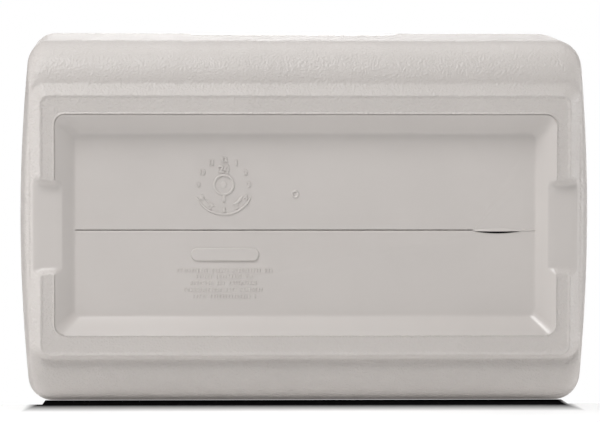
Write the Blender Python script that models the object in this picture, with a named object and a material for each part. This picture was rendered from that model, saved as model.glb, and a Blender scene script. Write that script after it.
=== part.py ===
"""Hard-sided chest cooler standing on its foot rim, lid shut, latches and end handles hanging.

X runs along the length, the front faces -Y, Z is up and z = 0 is the plane of the foot rim.
Every hollow part is a loft through rounded-rectangle sections whose end walls bow outwards.
"""
import math

import bmesh
import bpy
from mathutils import Matrix, Vector

# Gaps, walls and how far cutters run past the surfaces they cut
GAP = 0.0003
OVERRUN = 0.010
SHELL_WALL = 0.003
LINER_WALL = 0.0025
FOOT_OFFSET_SHARE = 0.41

# Levels above the foot rim
POCKET_Z = 0.015
NOTCH_Z = 0.006
FOOT_Z = 0.008
WALL_Z = 0.050
COLLAR_Z = 0.240
SHELL_TOP_Z = 0.288
RIM_Z = 0.292
LID_BOTTOM_Z = 0.2935
LID_FLANGE_Z = 0.2955
LID_SHOULDER_Z = 0.324
LID_EDGE_Z = 0.338
LID_TOP_Z = 0.340
TUB_FLOOR_Z = 0.050
PLUG_Z = 0.281

# Sections: half length at the corners, half depth, corner radius, bow of the end wall, centre in Y
POCKET_FLOOR = dict(hx=0.2042, hy=0.0810, r=0.0065, bow=0.0, cy=0.0035)
POCKET_RIM = dict(hx=0.2204, hy=0.0968, r=0.0085, bow=0.0, cy=0.0026)
FOOT_FACE = dict(hx=0.2340, hy=0.1149, r=0.0090, bow=0.0, cy=0.0031)
FOOT_BASE = dict(hx=0.2424, hy=0.1214, r=0.0130, bow=0.0, cy=0.0)
WALL_LOW = dict(hx=0.2445, hy=0.1612, r=0.0190, bow=0.0090, cy=0.0012)
COLLAR = dict(hx=0.2500, hy=0.1675, r=0.0180, bow=0.0095, cy=0.0)
TUB_LOW = dict(hx=0.2120, hy=0.1270, r=0.0220, bow=0.0040, cy=0.0)
TUB_HIGH = dict(hx=0.2200, hy=0.1360, r=0.0260, bow=0.0040, cy=0.0)
PLUG = dict(hx=0.2150, hy=0.1315, r=0.0220, bow=0.0040, cy=0.0)
TUB_FILLET = 0.012
PLUG_FILLET = 0.006
LID_ROUND = 0.012
LID_CORNER_R = 0.010
LID_BORDER = 0.024
LID_PANEL_INSET = 0.027
LID_PANEL_DROP = 0.002
UNDER_RADIUS_STEPS = 6
CORNER_STEPS = 5
FILLET_STEPS = 3

# End notches in the foot rim
NOTCH_FRONT_Y = -0.0343
NOTCH_BACK_Y = 0.0440
NOTCH_RAMP = 0.006
NOTCH_START_X = POCKET_FLOOR["hx"] - 0.004
END_Y = (-0.058, NOTCH_FRONT_Y - NOTCH_RAMP, NOTCH_FRONT_Y, -0.015, 0.005, 0.025,
         NOTCH_BACK_Y, NOTCH_BACK_Y + NOTCH_RAMP, 0.064)

# Parting line and foam filling slit across the pocket floor
SEAM_Y = 0.0081
SEAM_WIDTH = 0.0010
SEAM_DEPTH = 0.0006
SEAM_END_GAP = 0.001
SLIT_X = 0.1703
SLIT_Y = 0.0090
SLIT_LENGTH = 0.042
SLIT_WIDTH = 0.0042

# Lid hinges
HINGE_X = 0.140
HINGE_Y = COLLAR["hy"] + 0.0005
HINGE_Z = 0.5 * (RIM_Z + LID_BOTTOM_Z)
BARREL_R = 0.0045
PIN_R = 0.0018
PIN_HOLE_R = 0.0021
LEAF_WIDTH = 0.050
LEAF_HEIGHT = 0.029
LEAF_THICKNESS = 0.0022
KNUCKLE_WIDTH = 0.0115
KNUCKLE_GAP = 0.0005
BARREL_ROOM = 0.0008
BARREL_END_ROOM = 0.001
PIN_PROUD = 0.0007
HINGE_SCREW_X = 0.014
HINGE_SCREW_DROP = 0.019

# Screws
SCREW_HEAD_R = 0.0034
SCREW_HEAD_H = 0.0019
SCREW_R = 0.0013
SCREW_HOLE_R = 0.0017
SCREW_LENGTH = 0.010
SCREW_SIDES = 10
SCREW_POINT = 0.002
SCREW_ROOM = 0.0006
BOSS_R = 0.0045
BOSS_DEPTH = 0.0140
BOSS_PROUD = 0.001

# Front latches
LATCH_X = 0.130
LATCH_Z = 0.3180
LATCH_RECESS_WIDTH = 0.046
LATCH_RECESS_DEPTH = 0.0140
LATCH_RECESS_BOTTOM = 0.236
LATCH_RECESS_TOP = 0.3290
LATCH_Y = -COLLAR["hy"] + 0.0070
LATCH_PIN_R = 0.0016
LATCH_PIN_REACH = 0.0022
LATCH_EYE_R = 0.0042
STRAP_WIDTH = 0.034
STRAP_THICKNESS = 0.0048
STRAP_BOTTOM = 0.2405
STRAP_LIP = 0.0012
STRAP_WINDOW = (0.0105, 0.0055)
KEEPER_Z = 0.2600
KEEPER_SIZE = (0.040, 0.0020, 0.0160)
KEEPER_HOOK = (0.018, 0.0036, 0.0070)
HOOK_CHAMFER = 0.0008
HOOK_UNDERCUT = 0.0016
KEEPER_SCREW_X = 0.0145

# End handles
HANDLE_X = 0.2475
HANDLE_Z = 0.2335
HANDLE_DROP = 0.050
HANDLE_ARM_Y = 0.044
HANDLE_STUB_Y = 0.0595
HANDLE_R = 0.0040
HANDLE_BEND = 0.010
HANDLE_STUB_BEND = 0.0055
GRIP_R = 0.0075
GRIP_BORE = 0.0044
GRIP_LENGTH = 0.066
GRIP_CHAMFER = 0.0018
HANDLE_RECESS_X = 0.2385
HANDLE_RECESS_HALF = 0.064
HANDLE_RECESS_Z = (0.162, 0.246)
BRACKET_Y = (0.0500, 0.0615)
BRACKET_Z = (0.2245, 0.2440)
BRACKET_X = (HANDLE_RECESS_X + GAP, 0.2535)
BRACKET_FOOT_Z = 0.2050
BRACKET_FOOT_X = 0.0030
BRACKET_SCREW_Z = 0.2130
SOCKET_ROOM = 0.0004

# Gasket ring, measured inwards from the collar section
GASKET_OUTER = 0.019
GASKET_INNER = 0.024
GASKET_BULGE = 0.0008
LINER_EDGE_INSET = 0.001

# The hinge barrels stand proud of the back, so the model is moved to centre its box on the origin
PROUD_BACK = HINGE_Y + BARREL_R - COLLAR["hy"]
CENTRE_SHIFT = Vector((0.0, -0.5 * PROUD_BACK, 0.0))

MATERIALS = {
    "shell": ((0.58, 0.555, 0.535), 0.42, 0.0),
    "liner": ((0.80, 0.79, 0.77), 0.30, 0.0),
    "foam": ((0.78, 0.70, 0.48), 0.90, 0.0),
    "gasket": ((0.16, 0.16, 0.165), 0.65, 0.0),
    "hardware": ((0.30, 0.30, 0.31), 0.45, 0.0),
    "rubber": ((0.12, 0.12, 0.125), 0.60, 0.0),
    "steel": ((0.60, 0.60, 0.61), 0.28, 1.0),
}


# ---------------------------------------------------------------- scene and mesh helpers

def clear_scene():
    """Remove every object of the start-up scene."""
    for obj in list(bpy.data.objects):
        bpy.data.objects.remove(obj, do_unlink=True)


def make_material(name):
    """A plain material with the part's colour, roughness and metallic value."""
    colour, roughness, metallic = MATERIALS[name]
    material = bpy.data.materials.get(name) or bpy.data.materials.new(name)
    material.use_nodes = True
    shader = material.node_tree.nodes["Principled BSDF"]
    shader.inputs["Base Color"].default_value = (*colour, 1.0)
    shader.inputs["Roughness"].default_value = roughness
    shader.inputs["Metallic"].default_value = metallic
    material.diffuse_color = (*colour, 1.0)
    return material


def add_object(name, mesh, root, material=None, location=(0.0, 0.0, 0.0)):
    """Link a mesh as a named object under the root empty; with no material it is a guide."""
    obj = bpy.data.objects.new(name, mesh)
    bpy.context.collection.objects.link(obj)
    obj.parent = root
    obj.location = location
    if material is None:
        obj.hide_render = True
        obj.display_type = "WIRE"
        return obj
    if not mesh.materials:
        mesh.materials.append(make_material(material))
    mesh.shade_smooth()
    mesh.set_sharp_from_angle(angle=math.radians(32))
    return obj


def mesh_from(bm, name):
    """Turn a bmesh into a mesh with its faces pointing out."""
    bmesh.ops.recalc_face_normals(bm, faces=bm.faces)
    mesh = bpy.data.meshes.new(name)
    bm.to_mesh(mesh)
    bm.free()
    return mesh


def add_boolean(obj, other, operation="DIFFERENCE"):
    """Add an exact Boolean modifier."""
    modifier = obj.modifiers.new(f"{operation.lower()} {other.name}", "BOOLEAN")
    modifier.operation = operation
    modifier.solver = "EXACT"
    modifier.object = other


def add_cylinder(bm, start, end, radius, sides=16):
    """Add a closed cylinder between two points."""
    start = Vector(start)
    end = Vector(end)
    along = end - start
    turn = along.to_track_quat("Z", "Y").to_matrix().to_4x4()
    place = Matrix.Translation((start + end) / 2) @ turn
    bmesh.ops.create_cone(bm, cap_ends=True, segments=sides, radius1=radius, radius2=radius,
                          depth=along.length, matrix=place)


def add_box(bm, low, high):
    """Add a closed box to a bmesh."""
    size = Vector(high) - Vector(low)
    middle = (Vector(high) + Vector(low)) / 2
    bmesh.ops.create_cube(bm, size=1.0, matrix=Matrix.Translation(middle) @ Matrix.Diagonal((*size, 1.0)))


def cylinders_mesh(name, lines, radius, sides=16):
    """One mesh of separate cylinders, for use as a cutter."""
    bm = bmesh.new()
    for start, end in lines:
        add_cylinder(bm, start, end, radius, sides)
    return mesh_from(bm, name)


def boxes_mesh(name, boxes):
    """One mesh of separate boxes, for use as a cutter."""
    bm = bmesh.new()
    for low, high in boxes:
        add_box(bm, low, high)
    return mesh_from(bm, name)


def box_mesh(name, low, high):
    """A box between two corners."""
    return boxes_mesh(name, [(low, high)])


# ---------------------------------------------------------------- sections and lofts

def grown(section, amount, z):
    """A section moved outwards by an amount and set at a level."""
    moved = dict(section)
    moved["hx"] += amount
    moved["hy"] += amount
    moved["r"] = max(moved["r"] + amount, 0.001)
    moved["z"] = z
    return moved


def mixed(a, b, t, z):
    """A section part of the way from one to another, with its own level."""
    section = {key: a[key] + (b[key] - a[key]) * t for key in ("hx", "hy", "r", "bow", "cy")}
    section["z"] = z
    return section


def outline(section):
    """Points round a rounded rectangle whose two ends bow outwards."""
    hx, hy, r = section["hx"], section["hy"], section["r"]
    points = []
    corners = ((1, -1, -90), (1, 1, 0), (-1, 1, 90), (-1, -1, 180))
    for sx, sy, first in corners:
        for step in range(CORNER_STEPS + 1):
            angle = math.radians(first + 90 * step / CORNER_STEPS)
            points.append((sx * (hx - r) + r * math.cos(angle), sy * (hy - r) + r * math.sin(angle)))
        if sx * sy < 0:
            ys = END_Y if sx > 0 else tuple(reversed(END_Y))
            points.extend((sx * hx, y - section["cy"]) for y in ys)
    bowed = []
    for x, y in points:
        side = math.copysign(1.0, x)
        bowed.append((x + side * section["bow"] * (1 - (y / hy) ** 2), y + section["cy"]))
    return bowed


def loft(sections, lift=None):
    """Closed bmesh through a list of sections, capped at both ends.

    Lifted surfaces have twisted quads, so they are cut into triangles the same way in every layer.
    """
    bm = bmesh.new()
    rings = []
    for section in sections:
        ring = []
        for x, y in outline(section):
            z = section["z"] if lift is None else lift(x, y, section["z"])
            ring.append(bm.verts.new((x, y, z)))
        rings.append(ring)
    count = len(rings[0])
    for lower, upper in zip(rings, rings[1:]):
        for i in range(count):
            j = (i + 1) % count
            if lift is None:
                bm.faces.new((lower[i], lower[j], upper[j], upper[i]))
            else:
                bm.faces.new((lower[i], lower[j], upper[j]))
                bm.faces.new((lower[i], upper[j], upper[i]))
    bm.faces.new(list(reversed(rings[0])))
    bm.faces.new(rings[-1])
    return bm


def ring_loft(sections):
    """Closed bmesh round a loop of sections, with a hole through the middle."""
    bm = bmesh.new()
    rings = [[bm.verts.new((x, y, s["z"])) for x, y in outline(s)] for s in sections]
    count = len(rings[0])
    for lower, upper in zip(rings, rings[1:] + rings[:1]):
        for i in range(count):
            j = (i + 1) % count
            bm.faces.new((lower[i], lower[j], upper[j], upper[i]))
    return bm


def notch_lift(offset):
    """Function that raises the foot rim to the floor of the end notches."""
    def lift(x, y, z):
        inside = min(y - (NOTCH_FRONT_Y - NOTCH_RAMP), (NOTCH_BACK_Y + NOTCH_RAMP) - y) / NOTCH_RAMP
        share = min(max(inside, 0.0), 1.0)
        if abs(x) < NOTCH_START_X:
            return z
        return max(z, NOTCH_Z * share + offset)
    return lift


def under_sections(offset):
    """Sections of the underside and the big under radius, moved inwards into the wall by an offset."""
    shift = FOOT_OFFSET_SHARE * offset
    wall_t = NOTCH_Z / POCKET_Z
    slope_t = NOTCH_Z / FOOT_Z
    sections = [
        grown(POCKET_FLOOR, shift, POCKET_Z + offset),
        grown(mixed(POCKET_RIM, POCKET_FLOOR, wall_t, 0.0), shift, NOTCH_Z + offset),
        grown(POCKET_RIM, shift, offset),
        grown(FOOT_FACE, -shift, offset),
        grown(mixed(FOOT_FACE, FOOT_BASE, slope_t, 0.0), -shift, NOTCH_Z + offset),
        grown(FOOT_BASE, -shift, FOOT_Z + offset),
    ]
    for step in range(1, UNDER_RADIUS_STEPS + 1):
        angle = math.radians(90 * step / UNDER_RADIUS_STEPS)
        z = FOOT_Z + (WALL_Z - FOOT_Z) * (1 - math.cos(angle))
        section = mixed(FOOT_BASE, WALL_LOW, math.sin(angle), z)
        sections.append(grown(section, -offset * math.sin(angle), z + offset * math.cos(angle)))
    return sections


def body_sections(offset, top):
    """Sections of the outside of the body, moved inwards by an offset, up to a level."""
    return under_sections(offset) + [grown(COLLAR, -offset, COLLAR_Z), grown(COLLAR, -offset, top)]


def tub_sections(offset, top):
    """Sections of the tub's inside, moved outwards into its wall by an offset, from the top down."""
    start = TUB_FLOOR_Z + TUB_FILLET
    share = (top - start) / (RIM_Z - start)
    sections = [grown(mixed(TUB_LOW, TUB_HIGH, share, top), offset, top)]
    for step in range(FILLET_STEPS + 1):
        angle = math.radians(90 * step / FILLET_STEPS)
        z = TUB_FLOOR_Z - offset + TUB_FILLET * (1 - math.sin(angle))
        sections.append(grown(TUB_LOW, offset - TUB_FILLET * (1 - math.cos(angle)), z))
    return sections


def plug_sections(offset, top):
    """Sections of the lid's inner pan, moved into the pan by an offset, from its bottom up."""
    sections = []
    for step in range(FILLET_STEPS + 1):
        angle = math.radians(90 * step / FILLET_STEPS)
        z = PLUG_Z + offset + PLUG_FILLET * (1 - math.cos(angle))
        sections.append(grown(PLUG, -offset - PLUG_FILLET * (1 - math.sin(angle)), z))
    sections.append(grown(PLUG, -offset, top))
    return sections


def lid_ring(inset, z):
    """A section inside the collar whose corners never get tighter than the lid's corner radius."""
    section = grown(COLLAR, -inset, z)
    section["r"] = max(section["r"], LID_CORNER_R)
    return section


def lid_sections(offset, bottom):
    """Sections of the lid's outside, moved inwards by an offset, from the skirt up."""
    sections = [lid_ring(offset, bottom)]
    steps = FILLET_STEPS + 1
    for step in range(steps + 1):
        angle = math.radians(90 * step / steps)
        z = LID_SHOULDER_Z + (LID_EDGE_Z - LID_SHOULDER_Z) * math.sin(angle)
        inward = LID_ROUND * (1 - math.cos(angle))
        sections.append(lid_ring(inward + offset * math.cos(angle), z - offset * math.sin(angle)))
    sections.append(lid_ring(LID_BORDER, LID_TOP_Z - offset))
    sections.append(lid_ring(LID_PANEL_INSET, LID_TOP_Z - LID_PANEL_DROP - offset))
    return sections


# ---------------------------------------------------------------- cutters shared by shell, foam and lid

def recess_boxes(grow):
    """Boxes of the latch and handle recesses, grown on every side by an amount."""
    boxes = []
    half = LATCH_RECESS_WIDTH / 2 + grow
    for side in (-1, 1):
        x = side * LATCH_X
        boxes.append(((x - half, -COLLAR["hy"] - OVERRUN, LATCH_RECESS_BOTTOM - grow),
                      (x + half, -COLLAR["hy"] + LATCH_RECESS_DEPTH + grow, LATCH_RECESS_TOP + grow)))
        near = HANDLE_RECESS_X - grow
        far = COLLAR["hx"] + COLLAR["bow"] + OVERRUN
        boxes.append(((min(side * near, side * far), -HANDLE_RECESS_HALF - grow, HANDLE_RECESS_Z[0] - grow),
                      (max(side * near, side * far), HANDLE_RECESS_HALF + grow, HANDLE_RECESS_Z[1] + grow)))
    return boxes


def barrel_lines(grow):
    """Lines of the cylinders that clear the hinge barrels."""
    half = LEAF_WIDTH / 2 + BARREL_END_ROOM + grow
    return [((side * HINGE_X - half, HINGE_Y, HINGE_Z), (side * HINGE_X + half, HINGE_Y, HINGE_Z))
            for side in (-1, 1)]


def screw_places():
    """Name, head seat point and outward direction of every screw."""
    places = []
    for side, word in ((-1, "left"), (1, "right")):
        for leaf, way in (("body", -1), ("lid", 1)):
            for along, end in ((-1, "outer"), (1, "inner")):
                x = side * (HINGE_X - along * HINGE_SCREW_X)
                seat = (x, COLLAR["hy"] + GAP + LEAF_THICKNESS, HINGE_Z + way * HINGE_SCREW_DROP)
                places.append((f"hinge_screw_{leaf}_{word}_{end}", seat, (0, 1, 0), leaf))
        for along, end in ((-1, "outer"), (1, "inner")):
            x = side * (LATCH_X - along * KEEPER_SCREW_X)
            wall = -COLLAR["hy"] + LATCH_RECESS_DEPTH
            places.append((f"keeper_screw_{word}_{end}", (x, wall - GAP - KEEPER_SIZE[1], KEEPER_Z),
                           (0, -1, 0), "body"))
        for along, end in ((-1, "front"), (1, "back")):
            y = along * 0.5 * (BRACKET_Y[0] + BRACKET_Y[1])
            x = side * (BRACKET_X[0] + BRACKET_FOOT_X)
            places.append((f"handle_screw_{word}_{end}", (x, y, BRACKET_SCREW_Z), (side, 0, 0), "body"))
    return places


def screw_lines(owner, above, below):
    """Lines along the screws of the body or the lid, from above the head seat to below it."""
    lines = []
    for _, seat, out, holder in screw_places():
        if holder == owner:
            seat = Vector(seat)
            out = Vector(out)
            lines.append((seat + out * above, seat - out * below))
    return lines


def add_cutters(root):
    """Guides that shape the shells and the foam; the wide ones leave a wall round each recess."""
    cutters = {}
    for key, grow in (("tight", 0.0), ("wall", SHELL_WALL), ("clear", SHELL_WALL + GAP)):
        cutters[f"recess_{key}"] = boxes_mesh(f"cut_recess_{key}", recess_boxes(grow))
        cutters[f"barrel_{key}"] = cylinders_mesh(f"cut_barrel_{key}", barrel_lines(grow),
                                                  BARREL_R + BARREL_ROOM + grow, 20)
    for owner in ("body", "lid"):
        lines = screw_lines(owner, SCREW_HEAD_H, SCREW_LENGTH + SCREW_ROOM)
        cutters[f"hole_{owner}"] = cylinders_mesh(f"cut_hole_{owner}", lines, SCREW_HOLE_R, 12)
        for key, grow in (("boss", 0.0), ("boss_clear", GAP)):
            lines = screw_lines(owner, BOSS_PROUD, BOSS_DEPTH + grow)
            mesh = cylinders_mesh(f"cut_{key}_{owner}", lines, BOSS_R + grow, 12)
            cutters[f"{key}_{owner}"] = mesh
    return {key: add_object(f"guide_{key}", mesh, root) for key, mesh in cutters.items()}


# ---------------------------------------------------------------- the insulated body

def make_body(root, cut):
    """Outer shell, foam core and inner tub."""
    core = add_object("guide_shell_core", mesh_from(
        loft(body_sections(SHELL_WALL, SHELL_TOP_Z + OVERRUN), notch_lift(SHELL_WALL)), "shell_core"), root)
    for key in ("recess_wall", "barrel_wall", "boss_body"):
        add_boolean(core, cut[key])

    seam = add_object("guide_seam", box_mesh(
        "cut_seam", (-POCKET_FLOOR["hx"] + 2 * SEAM_END_GAP, SEAM_Y - SEAM_WIDTH / 2, POCKET_Z - SEAM_DEPTH),
        (SLIT_X - SLIT_LENGTH / 2 - SEAM_END_GAP, SEAM_Y + SEAM_WIDTH / 2, POCKET_Z + SEAM_DEPTH)), root)
    slit = add_object("guide_slit", slit_mesh(), root)
    shell = add_object("body_shell", mesh_from(
        loft(body_sections(0.0, SHELL_TOP_Z), notch_lift(0.0)), "body_shell"), root, "shell")
    for key in ("recess_tight", "barrel_tight"):
        add_boolean(shell, cut[key])
    for guide in (core, cut["hole_body"], seam, slit):
        add_boolean(shell, guide)

    tub_room = list(reversed(tub_sections(LINER_WALL + GAP, SHELL_TOP_Z + OVERRUN)))
    tub_space = add_object("guide_tub_space", mesh_from(loft(tub_room), "tub_space"), root)
    foam = add_object("body_foam", mesh_from(
        loft(body_sections(SHELL_WALL + GAP, SHELL_TOP_Z - GAP), notch_lift(SHELL_WALL + GAP)),
        "body_foam"), root, "foam")
    for guide in (tub_space, cut["recess_clear"], cut["barrel_clear"], cut["boss_clear_body"]):
        add_boolean(foam, guide)

    flange_z = SHELL_TOP_Z + GAP
    sections = list(reversed(tub_sections(0.0, RIM_Z)))
    sections.append(grown(COLLAR, -LINER_EDGE_INSET, RIM_Z))
    sections.append(grown(COLLAR, -LINER_EDGE_INSET, flange_z))
    sections.extend(tub_sections(LINER_WALL, flange_z))
    liner = add_object("body_liner", mesh_from(loft(sections), "body_liner"), root, "liner")
    for key in ("recess_tight", "barrel_tight"):
        add_boolean(liner, cut[key])


def slit_mesh():
    """Lens-shaped prism that opens the foam filling slit."""
    bm = bmesh.new()
    steps = 10
    lower = []
    for step in range(steps + 1):
        t = -1 + 2 * step / steps
        lower.append((SLIT_X + t * SLIT_LENGTH / 2, SLIT_Y - SLIT_WIDTH / 2 * (1 - t * t)))
    for step in range(steps - 1, 0, -1):
        t = -1 + 2 * step / steps
        lower.append((SLIT_X + t * SLIT_LENGTH / 2, SLIT_Y + SLIT_WIDTH / 2 * (1 - t * t)))
    face = bm.faces.new([bm.verts.new((x, y, POCKET_Z - SHELL_WALL)) for x, y in lower])
    grown_face = bmesh.ops.extrude_face_region(bm, geom=[face])
    top = [v for v in grown_face["geom"] if isinstance(v, bmesh.types.BMVert)]
    bmesh.ops.translate(bm, verts=top, vec=(0, 0, 3 * SHELL_WALL))
    return mesh_from(bm, "cut_slit")


# ---------------------------------------------------------------- the lid

def make_lid(root, cut):
    """Lid cover, foam, inner pan and gasket."""
    core = add_object("guide_lid_core", mesh_from(
        loft(lid_sections(SHELL_WALL, LID_BOTTOM_Z - OVERRUN)), "lid_core"), root)
    for key in ("recess_wall", "barrel_wall", "boss_lid"):
        add_boolean(core, cut[key])
    reach = LATCH_RECESS_WIDTH / 2 + LATCH_PIN_REACH + GAP
    pin_lines = [((side * LATCH_X - reach, LATCH_Y, LATCH_Z), (side * LATCH_X + reach, LATCH_Y, LATCH_Z))
                 for side in (-1, 1)]
    pin_hole = add_object("guide_latch_pin_hole",
                          cylinders_mesh("cut_latch_pin", pin_lines, LATCH_PIN_R + GAP, 12), root)
    shell = add_object("lid_shell", mesh_from(loft(lid_sections(0.0, LID_BOTTOM_Z)), "lid_shell"), root, "shell")
    for guide in (cut["recess_tight"], cut["barrel_tight"], core, cut["hole_lid"], pin_hole):
        add_boolean(shell, guide)

    flange_top = LID_FLANGE_Z + LINER_WALL
    inside = SHELL_WALL + GAP
    sections = plug_sections(0.0, LID_FLANGE_Z)
    sections.append(grown(COLLAR, -inside, LID_FLANGE_Z))
    sections.append(grown(COLLAR, -inside, flange_top))
    sections.extend(reversed(plug_sections(LINER_WALL, flange_top)))
    pan = add_object("lid_liner", mesh_from(loft(sections), "lid_liner"), root, "liner")

    sections = plug_sections(LINER_WALL + GAP, flange_top + GAP)
    sections.extend(lid_sections(inside, flange_top + GAP))
    foam = add_object("lid_foam", mesh_from(loft(sections), "lid_foam"), root, "foam")
    for piece in (pan, foam):
        for key in ("recess_clear", "barrel_clear", "boss_clear_lid"):
            add_boolean(piece, cut[key])

    low = RIM_Z + GAP
    high = LID_FLANGE_Z - GAP
    ring = [lid_ring(GASKET_OUTER, low), lid_ring(GASKET_OUTER - GASKET_BULGE, (low + high) / 2),
            lid_ring(GASKET_OUTER, high), lid_ring(GASKET_INNER, high),
            lid_ring(GASKET_INNER + GASKET_BULGE, (low + high) / 2), lid_ring(GASKET_INNER, low)]
    add_object("lid_gasket", mesh_from(ring_loft(ring), "lid_gasket"), root, "gasket")


# ---------------------------------------------------------------- hinges and screws

def leaf_mesh(name, way, side):
    """A hinge leaf: way is -1 for the body's leaf with two outer knuckles, 1 for the lid's."""
    centre = side * HINGE_X
    half = LEAF_WIDTH / 2
    inner = half - KNUCKLE_WIDTH
    middle = inner - KNUCKLE_GAP
    spans = [(-half, -inner), (inner, half)] if way < 0 else [(-middle, middle)]
    face = COLLAR["hy"] + GAP
    near = HINGE_Z + way * (BARREL_R + BARREL_ROOM)
    far = HINGE_Z + way * LEAF_HEIGHT
    bm = bmesh.new()
    add_box(bm, (centre - half, face, min(near, far)), (centre + half, face + LEAF_THICKNESS, max(near, far)))
    mesh = mesh_from(bm, name)
    return mesh, [(centre + a, centre + b) for a, b in spans], face


def make_hinge(root, side, word, holes):
    """Two leaves and a pin for one hinge."""
    reach = LEAF_WIDTH / 2 + OVERRUN
    bore_line = [((side * HINGE_X - reach, HINGE_Y, HINGE_Z), (side * HINGE_X + reach, HINGE_Y, HINGE_Z))]
    bore = add_object(f"guide_hinge_bore_{word}", cylinders_mesh("cut_bore", bore_line, PIN_HOLE_R, 12), root)
    for leaf, way in (("body", -1), ("lid", 1)):
        mesh, spans, face = leaf_mesh(f"hinge_{leaf}_leaf", way, side)
        obj = add_object(f"hinge_{leaf}_leaf_{word}", mesh, root, "hardware")
        for number, (low, high) in enumerate(spans):
            neck_end = HINGE_Z + way * (BARREL_R + 2 * BARREL_ROOM)
            neck = box_mesh("neck", (low, face, min(HINGE_Z, neck_end)),
                            (high, face + LEAF_THICKNESS, max(HINGE_Z, neck_end)))
            add_boolean(obj, add_object(f"guide_neck_{leaf}_{word}_{number}", neck, root), "UNION")
            barrel = cylinders_mesh("barrel", [((low, HINGE_Y, HINGE_Z), (high, HINGE_Y, HINGE_Z))], BARREL_R, 20)
            add_boolean(obj, add_object(f"guide_barrel_{leaf}_{word}_{number}", barrel, root), "UNION")
        add_boolean(obj, bore)
        add_boolean(obj, holes)
    bm = bmesh.new()
    half = LEAF_WIDTH / 2 + PIN_PROUD
    add_cylinder(bm, (-half, 0, 0), (half, 0, 0), PIN_R, 12)
    add_object(f"hinge_pin_{word}", mesh_from(bm, "hinge_pin"), root, "steel", (side * HINGE_X, HINGE_Y, HINGE_Z))


def screw_mesh():
    """A pan-head screw along +Z with its head seat at the origin, turned round its axis."""
    bm = bmesh.new()
    profile = [(0.0, SCREW_HEAD_H), (SCREW_HEAD_R * 0.62, SCREW_HEAD_H), (SCREW_HEAD_R, SCREW_HEAD_H * 0.45),
               (SCREW_HEAD_R, GAP), (SCREW_R, GAP), (SCREW_R, -SCREW_LENGTH + SCREW_POINT), (0.0, -SCREW_LENGTH)]
    verts = [bm.verts.new((r, 0, z)) for r, z in profile]
    edges = [bm.edges.new(pair) for pair in zip(verts, verts[1:])]
    bmesh.ops.spin(bm, geom=verts + edges, cent=(0, 0, 0), axis=(0, 0, 1), angle=2 * math.pi, steps=SCREW_SIDES)
    bmesh.ops.remove_doubles(bm, verts=bm.verts, dist=1e-6)
    return mesh_from(bm, "screw")


def make_screws(root):
    """Every screw is its own object and shares one mesh."""
    mesh = screw_mesh()
    for name, seat, out, _ in screw_places():
        obj = add_object(name, mesh, root, "steel", seat)
        obj.rotation_euler = Vector(out).to_track_quat("Z", "Y").to_euler()


# ---------------------------------------------------------------- latches

def strap_mesh():
    """The rubber latch, hanging from its eye: a strap, a thicker pull lip and a cross slot for the keeper."""
    bm = bmesh.new()
    half = STRAP_WIDTH / 2
    drop = STRAP_BOTTOM - LATCH_Z
    t = STRAP_THICKNESS / 2
    profile = [(-t, 0.0), (-t, drop * 0.80), (-t - STRAP_LIP, drop * 0.90), (-t - STRAP_LIP, drop),
               (t * 0.66, drop), (t, drop * 0.93), (t, 0.0)]
    face = bm.faces.new([bm.verts.new((-half, y, z)) for y, z in profile])
    grown_face = bmesh.ops.extrude_face_region(bm, geom=[face])
    side = [v for v in grown_face["geom"] if isinstance(v, bmesh.types.BMVert)]
    bmesh.ops.translate(bm, verts=side, vec=(STRAP_WIDTH, 0, 0))
    return mesh_from(bm, "latch_strap")


def make_latch(root, side, word, holes):
    """Latch strap, its pin and the keeper on the body."""
    place = (side * LATCH_X, LATCH_Y, LATCH_Z)
    half = STRAP_WIDTH / 2
    strap = add_object(f"latch_strap_{word}", strap_mesh(), root, "rubber", place)
    eye = add_object(f"guide_eye_{word}", cylinders_mesh("eye", [((-half, 0, 0), (half, 0, 0))], LATCH_EYE_R, 20),
                     root, None, place)
    add_boolean(strap, eye, "UNION")
    bore = add_object(f"guide_eye_bore_{word}", cylinders_mesh(
        "eye_bore", [((-half - OVERRUN, 0, 0), (half + OVERRUN, 0, 0))], LATCH_PIN_R + GAP, 12), root, None, place)
    add_boolean(strap, bore)
    window_z = KEEPER_Z - LATCH_Z
    wide, high = STRAP_WINDOW
    window = add_object(f"guide_window_{word}", box_mesh(
        "window", (-wide, -OVERRUN, window_z - high), (wide, OVERRUN, window_z + high)), root, None, place)
    add_boolean(strap, window)

    bm = bmesh.new()
    reach = LATCH_RECESS_WIDTH / 2 + LATCH_PIN_REACH
    add_cylinder(bm, (-reach, 0, 0), (reach, 0, 0), LATCH_PIN_R, 12)
    add_object(f"latch_pin_{word}", mesh_from(bm, "latch_pin"), root, "steel", place)

    wall = -COLLAR["hy"] + LATCH_RECESS_DEPTH - GAP
    keeper = add_object(f"latch_keeper_{word}", box_mesh(
        "latch_keeper", (-KEEPER_SIZE[0] / 2, -KEEPER_SIZE[1], -KEEPER_SIZE[2] / 2),
        (KEEPER_SIZE[0] / 2, 0, KEEPER_SIZE[2] / 2)), root, "hardware", (side * LATCH_X, wall, KEEPER_Z))
    hook = add_object(f"guide_hook_{word}", hook_mesh(), root, None, (side * LATCH_X, wall, KEEPER_Z))
    add_boolean(keeper, hook, "UNION")
    add_boolean(keeper, holes)


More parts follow.
